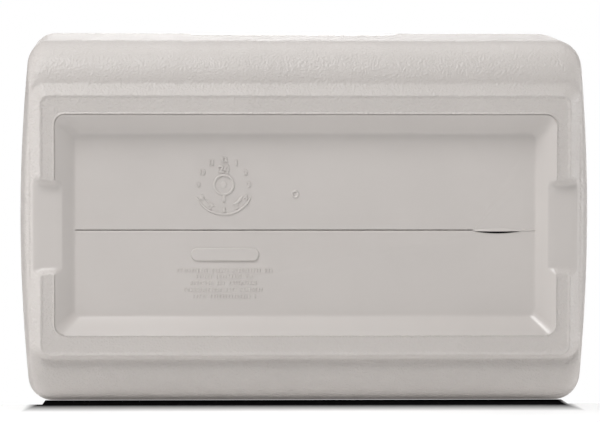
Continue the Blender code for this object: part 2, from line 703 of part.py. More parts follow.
def hook_mesh():
    """The keeper's nose, undercut on its lower side so that the strap's slot hooks behind it."""
    bm = bmesh.new()
    width, reach, height = KEEPER_HOOK
    root_y = -KEEPER_SIZE[1] + GAP
    tip_y = -KEEPER_SIZE[1] - reach
    profile = [(root_y, height / 2), (tip_y + HOOK_CHAMFER, height / 2 - HOOK_CHAMFER),
               (tip_y, height / 2 - 2 * HOOK_CHAMFER), (tip_y, -height / 2),
               (tip_y + HOOK_CHAMFER, -height / 2), (root_y, -height / 2 + HOOK_UNDERCUT)]
    face = bm.faces.new([bm.verts.new((-width / 2, y, z)) for y, z in profile])
    grown_face = bmesh.ops.extrude_face_region(bm, geom=[face])
    side = [v for v in grown_face["geom"] if isinstance(v, bmesh.types.BMVert)]
    bmesh.ops.translate(bm, verts=side, vec=(width, 0, 0))
    return mesh_from(bm, "hook")


# ---------------------------------------------------------------- end handles

def handle_path():
    """Points along the handle's bent bar in Y and Z, from one stub to the other."""
    def bend(cy, cz, radius, first, last, steps=5):
        angles = [math.radians(first + (last - first) * i / steps) for i in range(steps + 1)]
        return [(cy + radius * math.cos(a), cz + radius * math.sin(a)) for a in angles]
    arm = HANDLE_ARM_Y
    top = bend(arm + HANDLE_STUB_BEND, -HANDLE_STUB_BEND, HANDLE_STUB_BEND, 90, 180)
    foot = bend(arm - HANDLE_BEND, -HANDLE_DROP + HANDLE_BEND, HANDLE_BEND, 0, -90)
    right = [(HANDLE_STUB_Y, 0.0)] + top + foot
    left = [(-y, z) for y, z in reversed(right)]
    return right + left


def make_handle(root, side, word, holes):
    """Bent bar, grip sleeve and two brackets at one end."""
    place = (side * HANDLE_X, 0, HANDLE_Z)
    curve = bpy.data.curves.new(f"handle_bar_{word}", "CURVE")
    curve.dimensions = "3D"
    curve.bevel_depth = HANDLE_R
    curve.bevel_resolution = 2
    curve.use_fill_caps = True
    path = handle_path()
    spline = curve.splines.new("POLY")
    spline.points.add(len(path) - 1)
    for point, (y, z) in zip(spline.points, path):
        point.co = (0, y, z, 1)
    curve.materials.append(make_material("hardware"))
    bar = bpy.data.objects.new(f"handle_bar_{word}", curve)
    bpy.context.collection.objects.link(bar)
    bar.parent = root
    bar.location = place

    grip = add_object(f"handle_grip_{word}", grip_mesh(), root, "rubber", place)
    bore = add_object(f"guide_grip_bore_{word}", cylinders_mesh(
        "grip_bore", [((0, -GRIP_LENGTH, -HANDLE_DROP), (0, GRIP_LENGTH, -HANDLE_DROP))], GRIP_BORE, 16),
        root, None, place)
    add_boolean(grip, bore)

    for along, end in ((-1, "front"), (1, "back")):
        name = f"handle_bracket_{word}_{end}"
        xs = sorted((side * BRACKET_X[0], side * BRACKET_X[1]))
        foot_xs = sorted((side * BRACKET_X[0], side * (BRACKET_X[0] + BRACKET_FOOT_X)))
        ys = sorted((along * BRACKET_Y[0], along * BRACKET_Y[1]))
        bracket = add_object(name, box_mesh(name, (xs[0], ys[0], BRACKET_Z[0]), (xs[1], ys[1], BRACKET_Z[1])),
                             root, "hardware")
        foot = add_object(f"guide_foot_{word}_{end}", box_mesh(
            "foot", (foot_xs[0], ys[0], BRACKET_FOOT_Z), (foot_xs[1], ys[1], BRACKET_Z[0] + GAP)), root)
        add_boolean(bracket, foot, "UNION")
        socket = add_object(f"guide_socket_{word}_{end}", cylinders_mesh(
            "socket", [((side * HANDLE_X, along * (BRACKET_Y[0] - OVERRUN), HANDLE_Z),
                        (side * HANDLE_X, along * (HANDLE_STUB_Y + GAP), HANDLE_Z))], HANDLE_R + SOCKET_ROOM, 16), root)
        add_boolean(bracket, socket)
        add_boolean(bracket, holes)


def grip_mesh():
    """Grip sleeve with rounded ends along Y at the bottom of the handle."""
    bm = bmesh.new()
    half = GRIP_LENGTH / 2
    shoulder = half - GRIP_CHAMFER
    ends = ((-half, GRIP_R - GRIP_CHAMFER), (-shoulder, GRIP_R), (shoulder, GRIP_R), (half, GRIP_R - GRIP_CHAMFER))
    rings = []
    sides = 20
    for y, radius in ends:
        ring = []
        for i in range(sides):
            angle = 2 * math.pi * i / sides
            ring.append(bm.verts.new((radius * math.cos(angle), y, radius * math.sin(angle) - HANDLE_DROP)))
        rings.append(ring)
    for a, b in zip(rings, rings[1:]):
        for i in range(sides):
            j = (i + 1) % sides
            bm.faces.new((a[i], a[j], b[j], b[i]))
    bm.faces.new(rings[0])
    bm.faces.new(rings[-1])
    return mesh_from(bm, "handle_grip")


def main():
    """Build the whole cooler."""
    clear_scene()
    root = bpy.data.objects.new("cooler", None)
    bpy.context.collection.objects.link(root)
    root.location = CENTRE_SHIFT
    cut = add_cutters(root)
    make_body(root, cut)
    make_lid(root, cut)
    for side, word in ((-1, "left"), (1, "right")):
        both = add_object(f"guide_screw_holes_{word}", cylinders_mesh(
            "cut_screws", screw_lines("body", OVERRUN, SCREW_LENGTH) + screw_lines("lid", OVERRUN, SCREW_LENGTH),
            SCREW_HOLE_R, 12), root)
        make_hinge(root, side, word, both)
        make_latch(root, side, word, both)
        make_handle(root, side, word, both)
    make_screws(root)


main()
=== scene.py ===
"""Looks of the chest cooler: fine meshes, materials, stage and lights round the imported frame."""
import math

import bmesh
import bpy
from mathutils import Matrix, Vector


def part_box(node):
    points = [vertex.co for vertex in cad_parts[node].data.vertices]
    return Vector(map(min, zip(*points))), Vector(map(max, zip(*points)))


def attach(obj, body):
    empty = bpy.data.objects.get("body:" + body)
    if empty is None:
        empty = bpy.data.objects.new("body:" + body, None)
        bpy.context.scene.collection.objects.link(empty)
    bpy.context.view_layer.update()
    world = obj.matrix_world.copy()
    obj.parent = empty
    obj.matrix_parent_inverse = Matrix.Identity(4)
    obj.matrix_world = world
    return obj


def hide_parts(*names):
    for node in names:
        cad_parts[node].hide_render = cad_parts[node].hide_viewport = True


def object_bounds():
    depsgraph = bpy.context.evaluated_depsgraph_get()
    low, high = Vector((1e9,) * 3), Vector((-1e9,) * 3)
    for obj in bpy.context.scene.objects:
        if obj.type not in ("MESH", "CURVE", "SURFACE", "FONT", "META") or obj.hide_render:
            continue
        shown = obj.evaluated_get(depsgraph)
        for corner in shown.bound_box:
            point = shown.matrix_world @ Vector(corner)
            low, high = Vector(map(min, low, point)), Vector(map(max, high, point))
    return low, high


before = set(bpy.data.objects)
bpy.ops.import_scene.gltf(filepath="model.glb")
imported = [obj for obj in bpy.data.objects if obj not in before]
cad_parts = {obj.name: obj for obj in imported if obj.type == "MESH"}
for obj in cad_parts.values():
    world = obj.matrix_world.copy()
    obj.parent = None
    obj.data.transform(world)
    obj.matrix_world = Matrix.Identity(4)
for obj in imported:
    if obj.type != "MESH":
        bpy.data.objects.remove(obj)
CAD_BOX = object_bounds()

# ---------------------------------------------------------------- sizes, in metres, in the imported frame

HIGH = Vector(CAD_BOX[1])
SHELL_LOW, SHELL_HIGH = (Vector(corner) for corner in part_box("body_shell"))
CENTRE_Y = 0.5 * (SHELL_LOW.y + SHELL_HIGH.y)

GAP = 0.0003
SHELL_WALL = 0.003
LINER_WALL = 0.0025
SIDES = (-1, 1)
WORDS = ((-1, "left"), (1, "right"))

POCKET_Z = 0.015
NOTCH_Z = 0.006
FOOT_Z = 0.008
STEP_Z = 0.0008
WALL_Z = 0.050
COLLAR_Z = 0.240
SHELL_TOP_Z = SHELL_HIGH.z
RIM_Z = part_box("body_liner")[1].z
LID_BOTTOM_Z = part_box("lid_shell")[0].z
LID_FLANGE_Z = 0.2955
LID_SHOULDER_Z = 0.324
LID_EDGE_Z = 0.338
LID_ROUND = 0.012
LID_CORNER_R = 0.010
LID_TOP_Z = HIGH.z
LID_PANEL_Z = LID_TOP_Z - 0.002
TUB_FLOOR_Z = 0.050
TUB_FILLET = 0.012
PLUG_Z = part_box("lid_liner")[0].z
PLUG_FILLET = 0.006

# Sections: half length at the corners, half depth, corner radius, bow of the end wall, centre in Y
POCKET_FLOOR = dict(hx=0.2042, hy=0.0810, r=0.0065, bow=0.0, cy=0.0035)
POCKET_RIM = dict(hx=0.2204, hy=0.0968, r=0.0085, bow=0.0, cy=0.0026)
FOOT_FACE = dict(hx=0.2340, hy=0.1149, r=0.0090, bow=0.0, cy=0.0031)
FOOT_BASE = dict(hx=0.2424, hy=0.1214, r=0.0130, bow=0.0, cy=0.0)
WALL_LOW = dict(hx=0.2445, hy=0.1612, r=0.0190, bow=0.0090, cy=0.0012)
COLLAR = dict(hx=0.2500, hy=0.1675, r=0.0180, bow=0.0095, cy=0.0)
TUB_LOW = dict(hx=0.2120, hy=0.1270, r=0.0220, bow=0.0040, cy=0.0)
TUB_HIGH = dict(hx=0.2200, hy=0.1360, r=0.0260, bow=0.0040, cy=0.0)
PLUG = dict(hx=0.2150, hy=0.1315, r=0.0220, bow=0.0040, cy=0.0)

FOOT_DISH = 0.0008
BEAD_WIDTH = 0.0012
NOTCH_FRONT_Y = -0.0343
NOTCH_BACK_Y = 0.0440
NOTCH_MIDDLE_X = 0.2240
NOTCH_HALF_X = 0.0160
NOTCH_BULGE = 0.0034
# Share of a wall's thickness that a 45 degree corner moves sideways when the wall is offset
MITRE = 0.41

SEAM_Y = 0.0081
SEAM_WIDTH = 0.0012
SEAM_DEPTH = 0.0024
RIM_GAP_DEPTH = 0.0006
RIM_GAP_EDGES = (0.0001, 0.0005, 0.0009)
SLIT_X = 0.1703
SLIT_Y = 0.0090
SLIT_LENGTH = 0.042
SLIT_WIDTH = 0.0042
SLIT_LIP_WIDTH = 0.0006
SLIT_LIP_HEIGHT = 0.0011
# Level and share of the near-black block in the slit, which paints the shade of the opening
SLIT_SHADE_Z = (POCKET_Z + 0.0012, POCKET_Z + 0.0026)
SLIT_SHADE_SHARE = (0.985, 0.93)
RIB_AFTER_SLIT = 0.0068
RIB_HALF = (0.0060, 0.0007)
RIB_HEIGHT = 0.0005

GASKET_Z = (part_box("lid_gasket")[0].z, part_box("lid_gasket")[1].z)
GASKET_INSET = 0.0215
GASKET_HALF_WIDTH = 0.0033

# Hinges: middle of a leaf pair, joint axis, and the leaf's face against the wall
HINGE_X = 0.140
HINGE_Y = COLLAR["hy"] + 0.0005
HINGE_Z = 0.5 * (RIM_Z + LID_BOTTOM_Z)
BARREL_R = 0.0045
PIN_R = 0.0018
LEAF_FACE = COLLAR["hy"] + GAP
LEAF_WIDTH = 0.050
LEAF_HEIGHT = 0.029
LEAF_THICKNESS = 0.0022
LEAF_EDGE = 0.0006
LEAF_CORNER = 0.0035
KNUCKLE_WIDTH = 0.0115
HINGE_SCREW_X = 0.014
HINGE_SCREW_DROP = 0.019

SCREW_HEAD_R = 0.0034
SCREW_HEAD_H = 0.0019
SCREW_R = 0.0013
SCREW_LENGTH = 0.010
SCREW_PILOT_R = 0.0017
SCREW_SPIN = 37.0
BOSS_R = 0.0045
BOSS_DEPTH = 0.0115
BOSS_FLOOR = 0.0025

# Latches: recess floor and faces are distances out from the middle plane
LATCH_X = 0.130
LATCH_Z = 0.3180
LATCH_Y = -COLLAR["hy"] + 0.0070
LATCH_FLOOR = COLLAR["hy"] - 0.0140
LATCH_RECESS_WIDTH = 0.046
LATCH_RECESS_Z = (0.236, 0.329)
LATCH_PIN_R = 0.0016
LATCH_PIN_SEAT = 0.0022
LATCH_HOLE_SEAT = 0.0026
LATCH_EYE_R = 0.0042
STRAP_WIDTH = 0.034
STRAP_THICKNESS = 0.0048
STRAP_BOTTOM = 0.2405
STRAP_LIP_HALF = 0.0070
RIDGE_HALF_WIDTH = 0.0125
RIDGE_EDGE = 0.0005
WINDOW_HALF = (0.0105, 0.0055)
WINDOW_CORNER = 0.0020
WINDOW_SPAN = (0.15, 0.18)
KEEPER_Z = 0.2600
KEEPER_HALF = (0.020, 0.008)
KEEPER_THICKNESS = 0.002
KEEPER_FACE = LATCH_FLOOR + GAP + KEEPER_THICKNESS
KEEPER_HOOK = (0.018, 0.0036, 0.0070)
KEEPER_SCREW_X = 0.0145
KEEPER_CORNER = 0.0030

# End handles
HANDLE_X = 0.2475
HANDLE_Z = 0.2335
HANDLE_DROP = 0.050
HANDLE_ARM_Y = 0.044
HANDLE_STUB_Y = 0.0595
HANDLE_R = 0.0040
HANDLE_BEND = 0.010
HANDLE_STUB_BEND = 0.0055
GRIP_R = 0.0075
GRIP_BORE = 0.0044
GRIP_LENGTH = 0.066
HANDLE_RECESS_X = 0.2385
HANDLE_RECESS_HALF = 0.064
HANDLE_RECESS_Z = (0.162, 0.246)
BRACKET_Y = 0.05575
BRACKET_HALF = 0.00575
BRACKET_Z = (0.2245, 0.2440)
BRACKET_OUT_X = 0.2535
BRACKET_FOOT_Z = 0.2050
BRACKET_SEAT_X = HANDLE_RECESS_X + GAP + 0.0030
BRACKET_SCREW_Z = 0.2130
BRACKET_CORNER = 0.0020
BRACKET_EDGE = 0.0022
WEB_HALF = (0.0012, 0.0032)
WEB_EDGE = 0.0008
SOCKET_ROOM = 0.0004

# Marks on the pocket floor, and the pad on the front wall
MARK_HEIGHT = 0.00090
MARK_ROOT = 0.0002
DIAL_CENTRE = (-0.0722, -0.0321)
DIAL_RADIUS = 0.0224
DIAL_RING = (0.0074, 0.0096)
DIAL_DOT_R = 0.0030
DIAL_HOUR_SIZE = 0.0056
DIAL_NUMBER = "24"
DIAL_NUMBER_SIZE = 0.0094
DIAL_NUMBER_RISE = 0.0138
DIAL_BAR_DROP = 0.0124
DIAL_BAR_HALF = (0.0014, 0.0034)
# Radius, width, first and last angle, and share of the mark height of each arc round the dial
DIAL_ARCS = (
    (0.0262, 0.0019, -156, -24, 1.0),
    (0.0205, 0.0015, -148, -112, 0.8),
    (0.0195, 0.0027, -66, -32, 1.0),
)
GATE_CENTRE = (-0.0090, -0.0238)
GATE_RING = (0.0016, 0.0036)
PILL_X = (-0.1015, -0.0409)
PILL_Y = 0.0296
PILL_HALF_Y = 0.0058
# Level, start and end of each row, and how many dashes stand together in its groups
ROWS = (
    (0.0437, -0.1144, -0.0282, (11, 6, 10)),
    (0.0489, -0.0977, -0.0465, (6, 9)),
    (0.0548, -0.1021, -0.0414, (8, 3, 10)),
    (0.0608, -0.1074, -0.0370, (13, 4, 9)),
    (0.0668, -0.1003, -0.0421, (5, 14)),
)
DASH_STEP = 0.0026
DASH_HALF_X = 0.0007
DASH_HALF_Y = 0.0016
DASH_EDGE = 0.0004
DIGIT_EDGE = 0.00034
DIGIT_GROWTH = 0.6
PAD_X = (-0.1020, 0.0910)
PAD_Z = (0.168, 0.226)

# Overrun of a recess cutter past its wall, and the fineness of outlines
MOUTH_OVERRUN = 0.0015
CORNER_STEPS = 12
MID_Y = 0.068
MID_STEPS = 110
OUTER_STEPS = 9
LONG_STEPS = 8


# ---------------------------------------------------------------- sections and lofts

def quarter(steps, start=0):
    """Sine and cosine pairs through a quarter turn, from a step on."""
    angles = [math.radians(90 * step / steps) for step in range(start, steps + 1)]
    return [(math.sin(angle), math.cos(angle)) for angle in angles]


def mixed(a, b, t):
    """A section part of the way from one to another, its level included."""
    return {key: a[key] + (b[key] - a[key]) * t for key in a}


def at(section, z, amount=0.0):
    """A section moved outwards by an amount and set at a level."""
    moved = dict(section)
    moved["hx"] += amount
    moved["hy"] += amount
    moved["r"] = max(moved["r"] + amount, 0.0008)
    moved["z"] = z
    return moved


def rounded(stations, steps=4):
    """Sections through (section, cut) stations, each corner eased over its cut length."""
    result = []
    for i, (section, cut) in enumerate(stations):
        if cut == 0 or i in (0, len(stations) - 1):
            result.append(section)
            continue
        ends = []
        for other in (stations[i - 1][0], stations[i + 1][0]):
            out = max(abs(other[half] - section[half]) for half in ("hx", "hy"))
            length = math.hypot(out, other["z"] - section["z"])
            ends.append(mixed(section, other, min(cut / length, 0.5)))
        for step in range(steps + 1):
            t = step / steps
            result.append(mixed(mixed(ends[0], section, t), mixed(section, ends[1], t), t))
    return result


def side_ys(hy, r):
    """Places along an end wall: dense in the middle, where the notches are, and spread to the corners."""
    reach = hy - r
    mid = min(MID_Y, reach - 0.002)
    outer = [reach + (mid - reach) * i / OUTER_STEPS for i in range(1, OUTER_STEPS)]
    inner = [mid - 2 * mid * i / MID_STEPS for i in range(MID_STEPS + 1)]
    return [-y for y in outer] + [-y for y in inner] + list(reversed(outer))


def outline(section):
    """Points round a rounded rectangle whose two ends bow outwards."""
    hx, hy, r = section["hx"], section["hy"], section["r"]
    points = []
    corners = ((1, -1, -90), (1, 1, 0), (-1, 1, 90), (-1, -1, 180))
    for sx, sy, first in corners:
        for step in range(CORNER_STEPS + 1):
            angle = math.radians(first + 90 * step / CORNER_STEPS)
            points.append((sx * (hx - r) + r * math.cos(angle), sy * (hy - r) + r * math.sin(angle)))
        if sx * sy < 0:
            ys = side_ys(hy, r)
            points.extend((sx * hx, y if sx > 0 else -y) for y in ys)
        else:
            for step in range(1, LONG_STEPS):
                points.append((sx * (hx - r) * (1 - 2 * step / LONG_STEPS), sy * hy))
    bowed = []
    for x, y in points:
        side = math.copysign(1.0, x)
        bowed.append((x + side * section["bow"] * (1 - (y / hy) ** 2), y + section["cy"]))
    return bowed


def loft(name, sections, lift=None):
    """Closed mesh through sections, capped at both ends."""
    verts = []
    faces = []
    for section in sections:
        for x, y in outline(section):
            z = section["z"] if lift is None else lift(x, y, section["z"])
            verts.append((x, y + CENTRE_Y, z))
    count = len(verts) // len(sections)
    for k in range(len(sections) - 1):
        for i in range(count):
            j = (i + 1) % count
            faces.append((k * count + i, k * count + j, (k + 1) * count + j, (k + 1) * count + i))
    faces.append(tuple(reversed(range(count))))
    faces.append(tuple(range(len(verts) - count, len(verts))))
    mesh = bpy.data.meshes.new(name)
    mesh.from_pydata(verts, [], faces)
    bm = bmesh.new()
    bm.from_mesh(mesh)
    bmesh.ops.recalc_face_normals(bm, faces=bm.faces)
    bm.to_mesh(mesh)
    bm.free()
    return mesh


def smooth_max(a, b, k):
    """Maximum with a quadratic blend where the two are within k."""
    h = max(k - abs(a - b), 0.0) / k
    return max(a, b) + h * h * k * 0.25


def notch_lift(x, y, z, offset=0.0):
    """Raise the foot rim to the floor of the end notches, with ramps whose feet bulge into the notch."""
    across = (abs(x) - NOTCH_MIDDLE_X) / NOTCH_HALF_X
    bulge = NOTCH_BULGE * max(1 - across * across, 0.0)
    away = smooth_max(NOTCH_FRONT_Y + bulge - y, y - NOTCH_BACK_Y + bulge, 0.001)
    floor = NOTCH_Z + offset - smooth_max(away, 0.0, 0.0015)
    return smooth_max(z, floor, 0.0008) if abs(z - floor) < 0.05 else z


def between(a, b, z):
    """The section at a level on the straight wall between two sections."""
    return mixed(a, b, (z - a["z"]) / (b["z"] - a["z"]))


def body_sections():
    """Stations of the outside of the body from the pocket floor to the rim."""
    floor = at(POCKET_FLOOR, POCKET_Z)
    rim = at(POCKET_RIM, STEP_Z)
    foot = at(FOOT_FACE, 0.0)
    base = at(FOOT_BASE, FOOT_Z)
    stations = [
        (at(POCKET_FLOOR, POCKET_Z, -0.0045), 0),
        (at(POCKET_FLOOR, POCKET_Z, -0.0040), 0),
        (floor, 0.0018),
        (between(floor, rim, NOTCH_Z + 0.0007), 0),
        (between(floor, rim, NOTCH_Z), 0),
        (between(floor, rim, NOTCH_Z - 0.0007), 0),
        (rim, 0.0005),
        (at(POCKET_RIM, STEP_Z, 0.0002), 0.0002),
        (at(POCKET_RIM, 0.0, 0.0009), 0.0003),
        (at(POCKET_RIM, FOOT_DISH, 0.0024), 0.0004),
        (at(FOOT_FACE, FOOT_DISH, -BEAD_WIDTH - 0.0016), 0.0004),
        (at(FOOT_FACE, 0.0, -BEAD_WIDTH), 0.0003),
        (foot, 0.0010),
        (between(foot, base, NOTCH_Z - 0.0010), 0),
        (between(foot, base, NOTCH_Z), 0),
        (base, 0.002),
    ]
    for sine, cosine in quarter(16, 1):
        section = mixed(at(FOOT_BASE, 0.0), at(WALL_LOW, 0.0), sine)
        section["z"] = FOOT_Z + (WALL_Z - FOOT_Z) * (1 - cosine)
        stations.append((section, 0))
    stations += [
        (at(WALL_LOW, WALL_Z), 0),
        (at(COLLAR, COLLAR_Z), 0.020),
        (at(COLLAR, SHELL_TOP_Z - 0.003), 0),
        (at(COLLAR, SHELL_TOP_Z), 0.001),
        (at(COLLAR, SHELL_TOP_Z, -0.0015), 0),
    ]
    return rounded(stations)


# ---------------------------------------------------------------- materials

def node_material(name, colour, roughness):
    """A Principled material with object coordinates ready for procedural detail."""
    material = bpy.data.materials.new(name)
    material.use_nodes = True
    tree = material.node_tree
    shader = tree.nodes["Principled BSDF"]
    shader.inputs["Base Color"].default_value = (*colour, 1.0)
    shader.inputs["Roughness"].default_value = roughness
    coords = tree.nodes.new("ShaderNodeTexCoord")
    return material, tree, shader, coords.outputs["Object"]


def noise(tree, vector, scale, detail=2.0, roughness=0.5):
    """Noise texture output."""
    node = tree.nodes.new("ShaderNodeTexNoise")
    node.inputs["Scale"].default_value = scale
    node.inputs["Detail"].default_value = detail
    node.inputs["Roughness"].default_value = roughness
    tree.links.new(vector, node.inputs["Vector"])
    return node.outputs["Fac"]


def remap(tree, value, low, high, from_low=0.3, from_high=0.7):
    """Map a texture value to a range."""
    node = tree.nodes.new("ShaderNodeMapRange")
    node.inputs["From Min"].default_value = from_low
    node.inputs["From Max"].default_value = from_high
    node.inputs["To Min"].default_value = low
    node.inputs["To Max"].default_value = high
    tree.links.new(value, node.inputs["Value"])
    return node.outputs["Result"]


def tint(tree, value, dark, light):
    """Mix two colours by a value."""
    node = tree.nodes.new("ShaderNodeMix")
    node.data_type = "RGBA"
    node.inputs["A"].default_value = (*dark, 1.0)
    node.inputs["B"].default_value = (*light, 1.0)
    tree.links.new(value, node.inputs["Factor"])
    return node.outputs["Result"]


def bump(tree, height, distance, previous=None, strength=1.0):
    """Bump node, chained on a previous normal."""
    node = tree.nodes.new("ShaderNodeBump")
    node.inputs["Distance"].default_value = distance
    node.inputs["Strength"].default_value = strength
    tree.links.new(height, node.inputs["Height"])
    if previous is not None:
        tree.links.new(previous, node.inputs["Normal"])
    return node.outputs["Normal"]


def scaled(colour, factor):
    """A colour made darker or lighter."""
    return tuple(c * factor for c in colour)


SHELL_COLOUR = (0.545, 0.512, 0.490)


def moulded_plastic(name, colour, roughness, grain, wave=0.00025):
    """Moulded polyethylene: soft tone changes, uneven gloss, a grained or a smooth tool surface."""
    material, tree, shader, vector = node_material(name, colour, roughness)
    broad = noise(tree, vector, 9.0, 3.0)
    tree.links.new(tint(tree, remap(tree, broad, 0.0, 1.0), scaled(colour, 0.975), scaled(colour, 1.02)),
                   shader.inputs["Base Color"])
    gloss = noise(tree, vector, 60.0, 4.0, 0.6)
    tree.links.new(remap(tree, gloss, roughness - 0.05, roughness + 0.06), shader.inputs["Roughness"])
    normal = bump(tree, noise(tree, vector, 22.0, 1.0), wave)
    if grain > 0:
        cells = tree.nodes.new("ShaderNodeTexVoronoi")
        cells.feature = "SMOOTH_F1"
        cells.inputs["Scale"].default_value = 520.0
        cells.inputs["Smoothness"].default_value = 0.5
        tree.links.new(vector, cells.inputs["Vector"])
        normal = bump(tree, cells.outputs["Distance"], grain, normal)
    else:
        scratches = noise(tree, vector, 700.0, 2.0)
        normal = bump(tree, scratches, 0.00002, normal)
    tree.links.new(normal, shader.inputs["Normal"])
    shader.inputs["IOR"].default_value = 1.46
    return material


def foam_material():
    """Rigid expanded foam: fine cells and a slightly uneven colour."""
    colour = (0.74, 0.64, 0.40)
    material, tree, shader, vector = node_material("foam_cells", colour, 0.9)
    tree.links.new(tint(tree, noise(tree, vector, 35.0, 3.0), scaled(colour, 0.86), scaled(colour, 1.08)),
                   shader.inputs["Base Color"])
    cells = tree.nodes.new("ShaderNodeTexVoronoi")
    cells.inputs["Scale"].default_value = 900.0
    tree.links.new(vector, cells.inputs["Vector"])
    tree.links.new(bump(tree, cells.outputs["Distance"], 0.0006), shader.inputs["Normal"])
    return material


def rubber_material(name, colour, roughness):
    """Dull moulded rubber: faint bloom, a fine matt tooth."""
    material, tree, shader, vector = node_material(name, colour, roughness)
    bloom = remap(tree, noise(tree, vector, 26.0, 4.0, 0.6), 0.0, 1.0)
    tree.links.new(tint(tree, bloom, scaled(colour, 0.85), scaled(colour, 1.25)),
                   shader.inputs["Base Color"])
    tree.links.new(remap(tree, noise(tree, vector, 140.0, 3.0), roughness - 0.07, roughness + 0.08),
                   shader.inputs["Roughness"])
    tree.links.new(bump(tree, noise(tree, vector, 1500.0, 2.0), 0.00006), shader.inputs["Normal"])
    shader.inputs["Specular IOR Level"].default_value = 0.35
    return material


def hardware_material(name, colour):
    """Glass-filled nylon: dark, finely textured, with a soft sheen and faint flow marks."""
    material, tree, shader, vector = node_material(name, colour, 0.42)
    flow = remap(tree, noise(tree, vector, 30.0, 5.0, 0.65), 0.0, 1.0)
    tree.links.new(tint(tree, flow, scaled(colour, 0.90), scaled(colour, 1.12)),
                   shader.inputs["Base Color"])
    tree.links.new(remap(tree, noise(tree, vector, 220.0, 3.0), 0.34, 0.50), shader.inputs["Roughness"])
    spark = tree.nodes.new("ShaderNodeTexVoronoi")
    spark.feature = "SMOOTH_F1"
    spark.inputs["Scale"].default_value = 1400.0
    tree.links.new(vector, spark.inputs["Vector"])
    tree.links.new(bump(tree, spark.outputs["Distance"], 0.00010), shader.inputs["Normal"])
    return material


def steel_material():
    """Stainless steel with fine turned marks and slight tarnish."""
    colour = (0.58, 0.57, 0.56)
    material, tree, shader, vector = node_material("stainless", colour, 0.28)
    shader.inputs["Metallic"].default_value = 1.0
    tarnish = remap(tree, noise(tree, vector, 180.0, 4.0, 0.6), 0.0, 1.0)
    tree.links.new(tint(tree, tarnish, scaled(colour, 0.85), scaled(colour, 1.05)),
                   shader.inputs["Base Color"])
    tree.links.new(remap(tree, noise(tree, vector, 900.0, 2.0), 0.20, 0.38), shader.inputs["Roughness"])
    tree.links.new(bump(tree, noise(tree, vector, 2600.0, 2.0), 0.00003), shader.inputs["Normal"])
    return material


MATERIAL = {
    "shell_grained": moulded_plastic("shell_grained", SHELL_COLOUR, 0.46, 0.00050),
    "shell_smooth": moulded_plastic("shell_smooth", SHELL_COLOUR, 0.34, 0.0),
    "liner": moulded_plastic("liner_white", (0.78, 0.77, 0.75), 0.27, 0.0, 0.00012),
    "foam": foam_material(),
    "gasket": rubber_material("seal_rubber", (0.145, 0.145, 0.150), 0.62),
    "rubber": rubber_material("strap_rubber", (0.080, 0.081, 0.084), 0.55),
    # Near-black block in the slit: painted shade of the opening, not a real seal
    "slit_painted_shade": rubber_material("slit_painted_shade", (0.010, 0.010, 0.010), 0.80),
    "hardware": hardware_material("dark_nylon", (0.115, 0.115, 0.120)),
    "steel": steel_material(),
}


# ---------------------------------------------------------------- pieces

def add_piece(name, mesh, material, body, slot, *replaced, sharp=35.0):
    """Link a mesh, shade it, ride it on its body and hide the imported parts that it replaces."""
    obj = bpy.data.objects.new(name, mesh)
    bpy.context.collection.objects.link(obj)
    if material is not None:
        mesh.materials.clear()
        mesh.materials.append(material)
    mesh.shade_smooth()
    mesh.set_sharp_from_angle(angle=math.radians(sharp))
    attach(obj, body)
    if replaced:
        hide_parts(*replaced)
    return obj


# ---------------------------------------------------------------- small closed meshes

def mesh_from(bm, name):
    """Turn a bmesh into a mesh with its faces pointing out."""
    bmesh.ops.recalc_face_normals(bm, faces=bm.faces)
    mesh = bpy.data.meshes.new(name)
    bm.to_mesh(mesh)
    bm.free()
    return mesh


def rings_mesh(name, rings, loop=False):
    """Closed mesh through rings of points, capped at both ends unless they close on themselves."""
    bm = bmesh.new()
    made = [[bm.verts.new(p) for p in ring] for ring in rings]
    count = len(made[0])
    following = made[1:] + made[:1] if loop else made[1:]
    for lower, upper in zip(made, following):
        for i in range(count):
            j = (i + 1) % count
            bm.faces.new((lower[i], lower[j], upper[j], upper[i]))
    if not loop:
        bm.faces.new(made[0])
        bm.faces.new(made[-1])
    return mesh_from(bm, name)


def rounded_rectangle(half, corner, corner_steps=6, side_steps=1):
    """Points round a rectangle with rounded corners."""
    points = []
    for su, sv, first in ((1, -1, -90), (1, 1, 0), (-1, 1, 90), (-1, -1, 180)):
        arc = []
        for step in range(corner_steps + 1):
            angle = math.radians(first + 90 * step / corner_steps)
            arc.append((su * (half[0] - corner) + corner * math.cos(angle),
                        sv * (half[1] - corner) + corner * math.sin(angle)))
        points.append(arc)
    outline_points = []
    for arc, following in zip(points, points[1:] + points[:1]):
        outline_points.extend(arc)
        for step in range(1, side_steps):
            t = step / side_steps
            outline_points.append(tuple(a + (b - a) * t for a, b in zip(arc[-1], following[0])))
    return outline_points


def stack(name, half, corner, rings, place, side_steps=1):
    """Closed mesh through grown rounded rectangles; a ring is (grow, height or function of u and v)."""
    made = []
    for grow, height in rings:
        size = (half[0] + grow, half[1] + grow)
        radius = max(corner + grow, 0.0001)
        ring = []
        for u, v in rounded_rectangle(size, radius, side_steps=side_steps):
            ring.append(place(u, v, height(u, v) if callable(height) else height))
        made.append(ring)
    return rings_mesh(name, made)


def block_rings(low, high, edge, both=False, steps=3):
    """Rings of a block whose outer edge, or both edges, are rounded over."""
    rings = [(-edge * (1 - cosine), high - edge * (1 - sine)) for sine, cosine in quarter(steps)]
    rings.append((-edge * 1.25, high))
    if both:
        return [(grow, low + high - z) for grow, z in reversed(rings)] + rings
    return [(0.0, low)] + rings


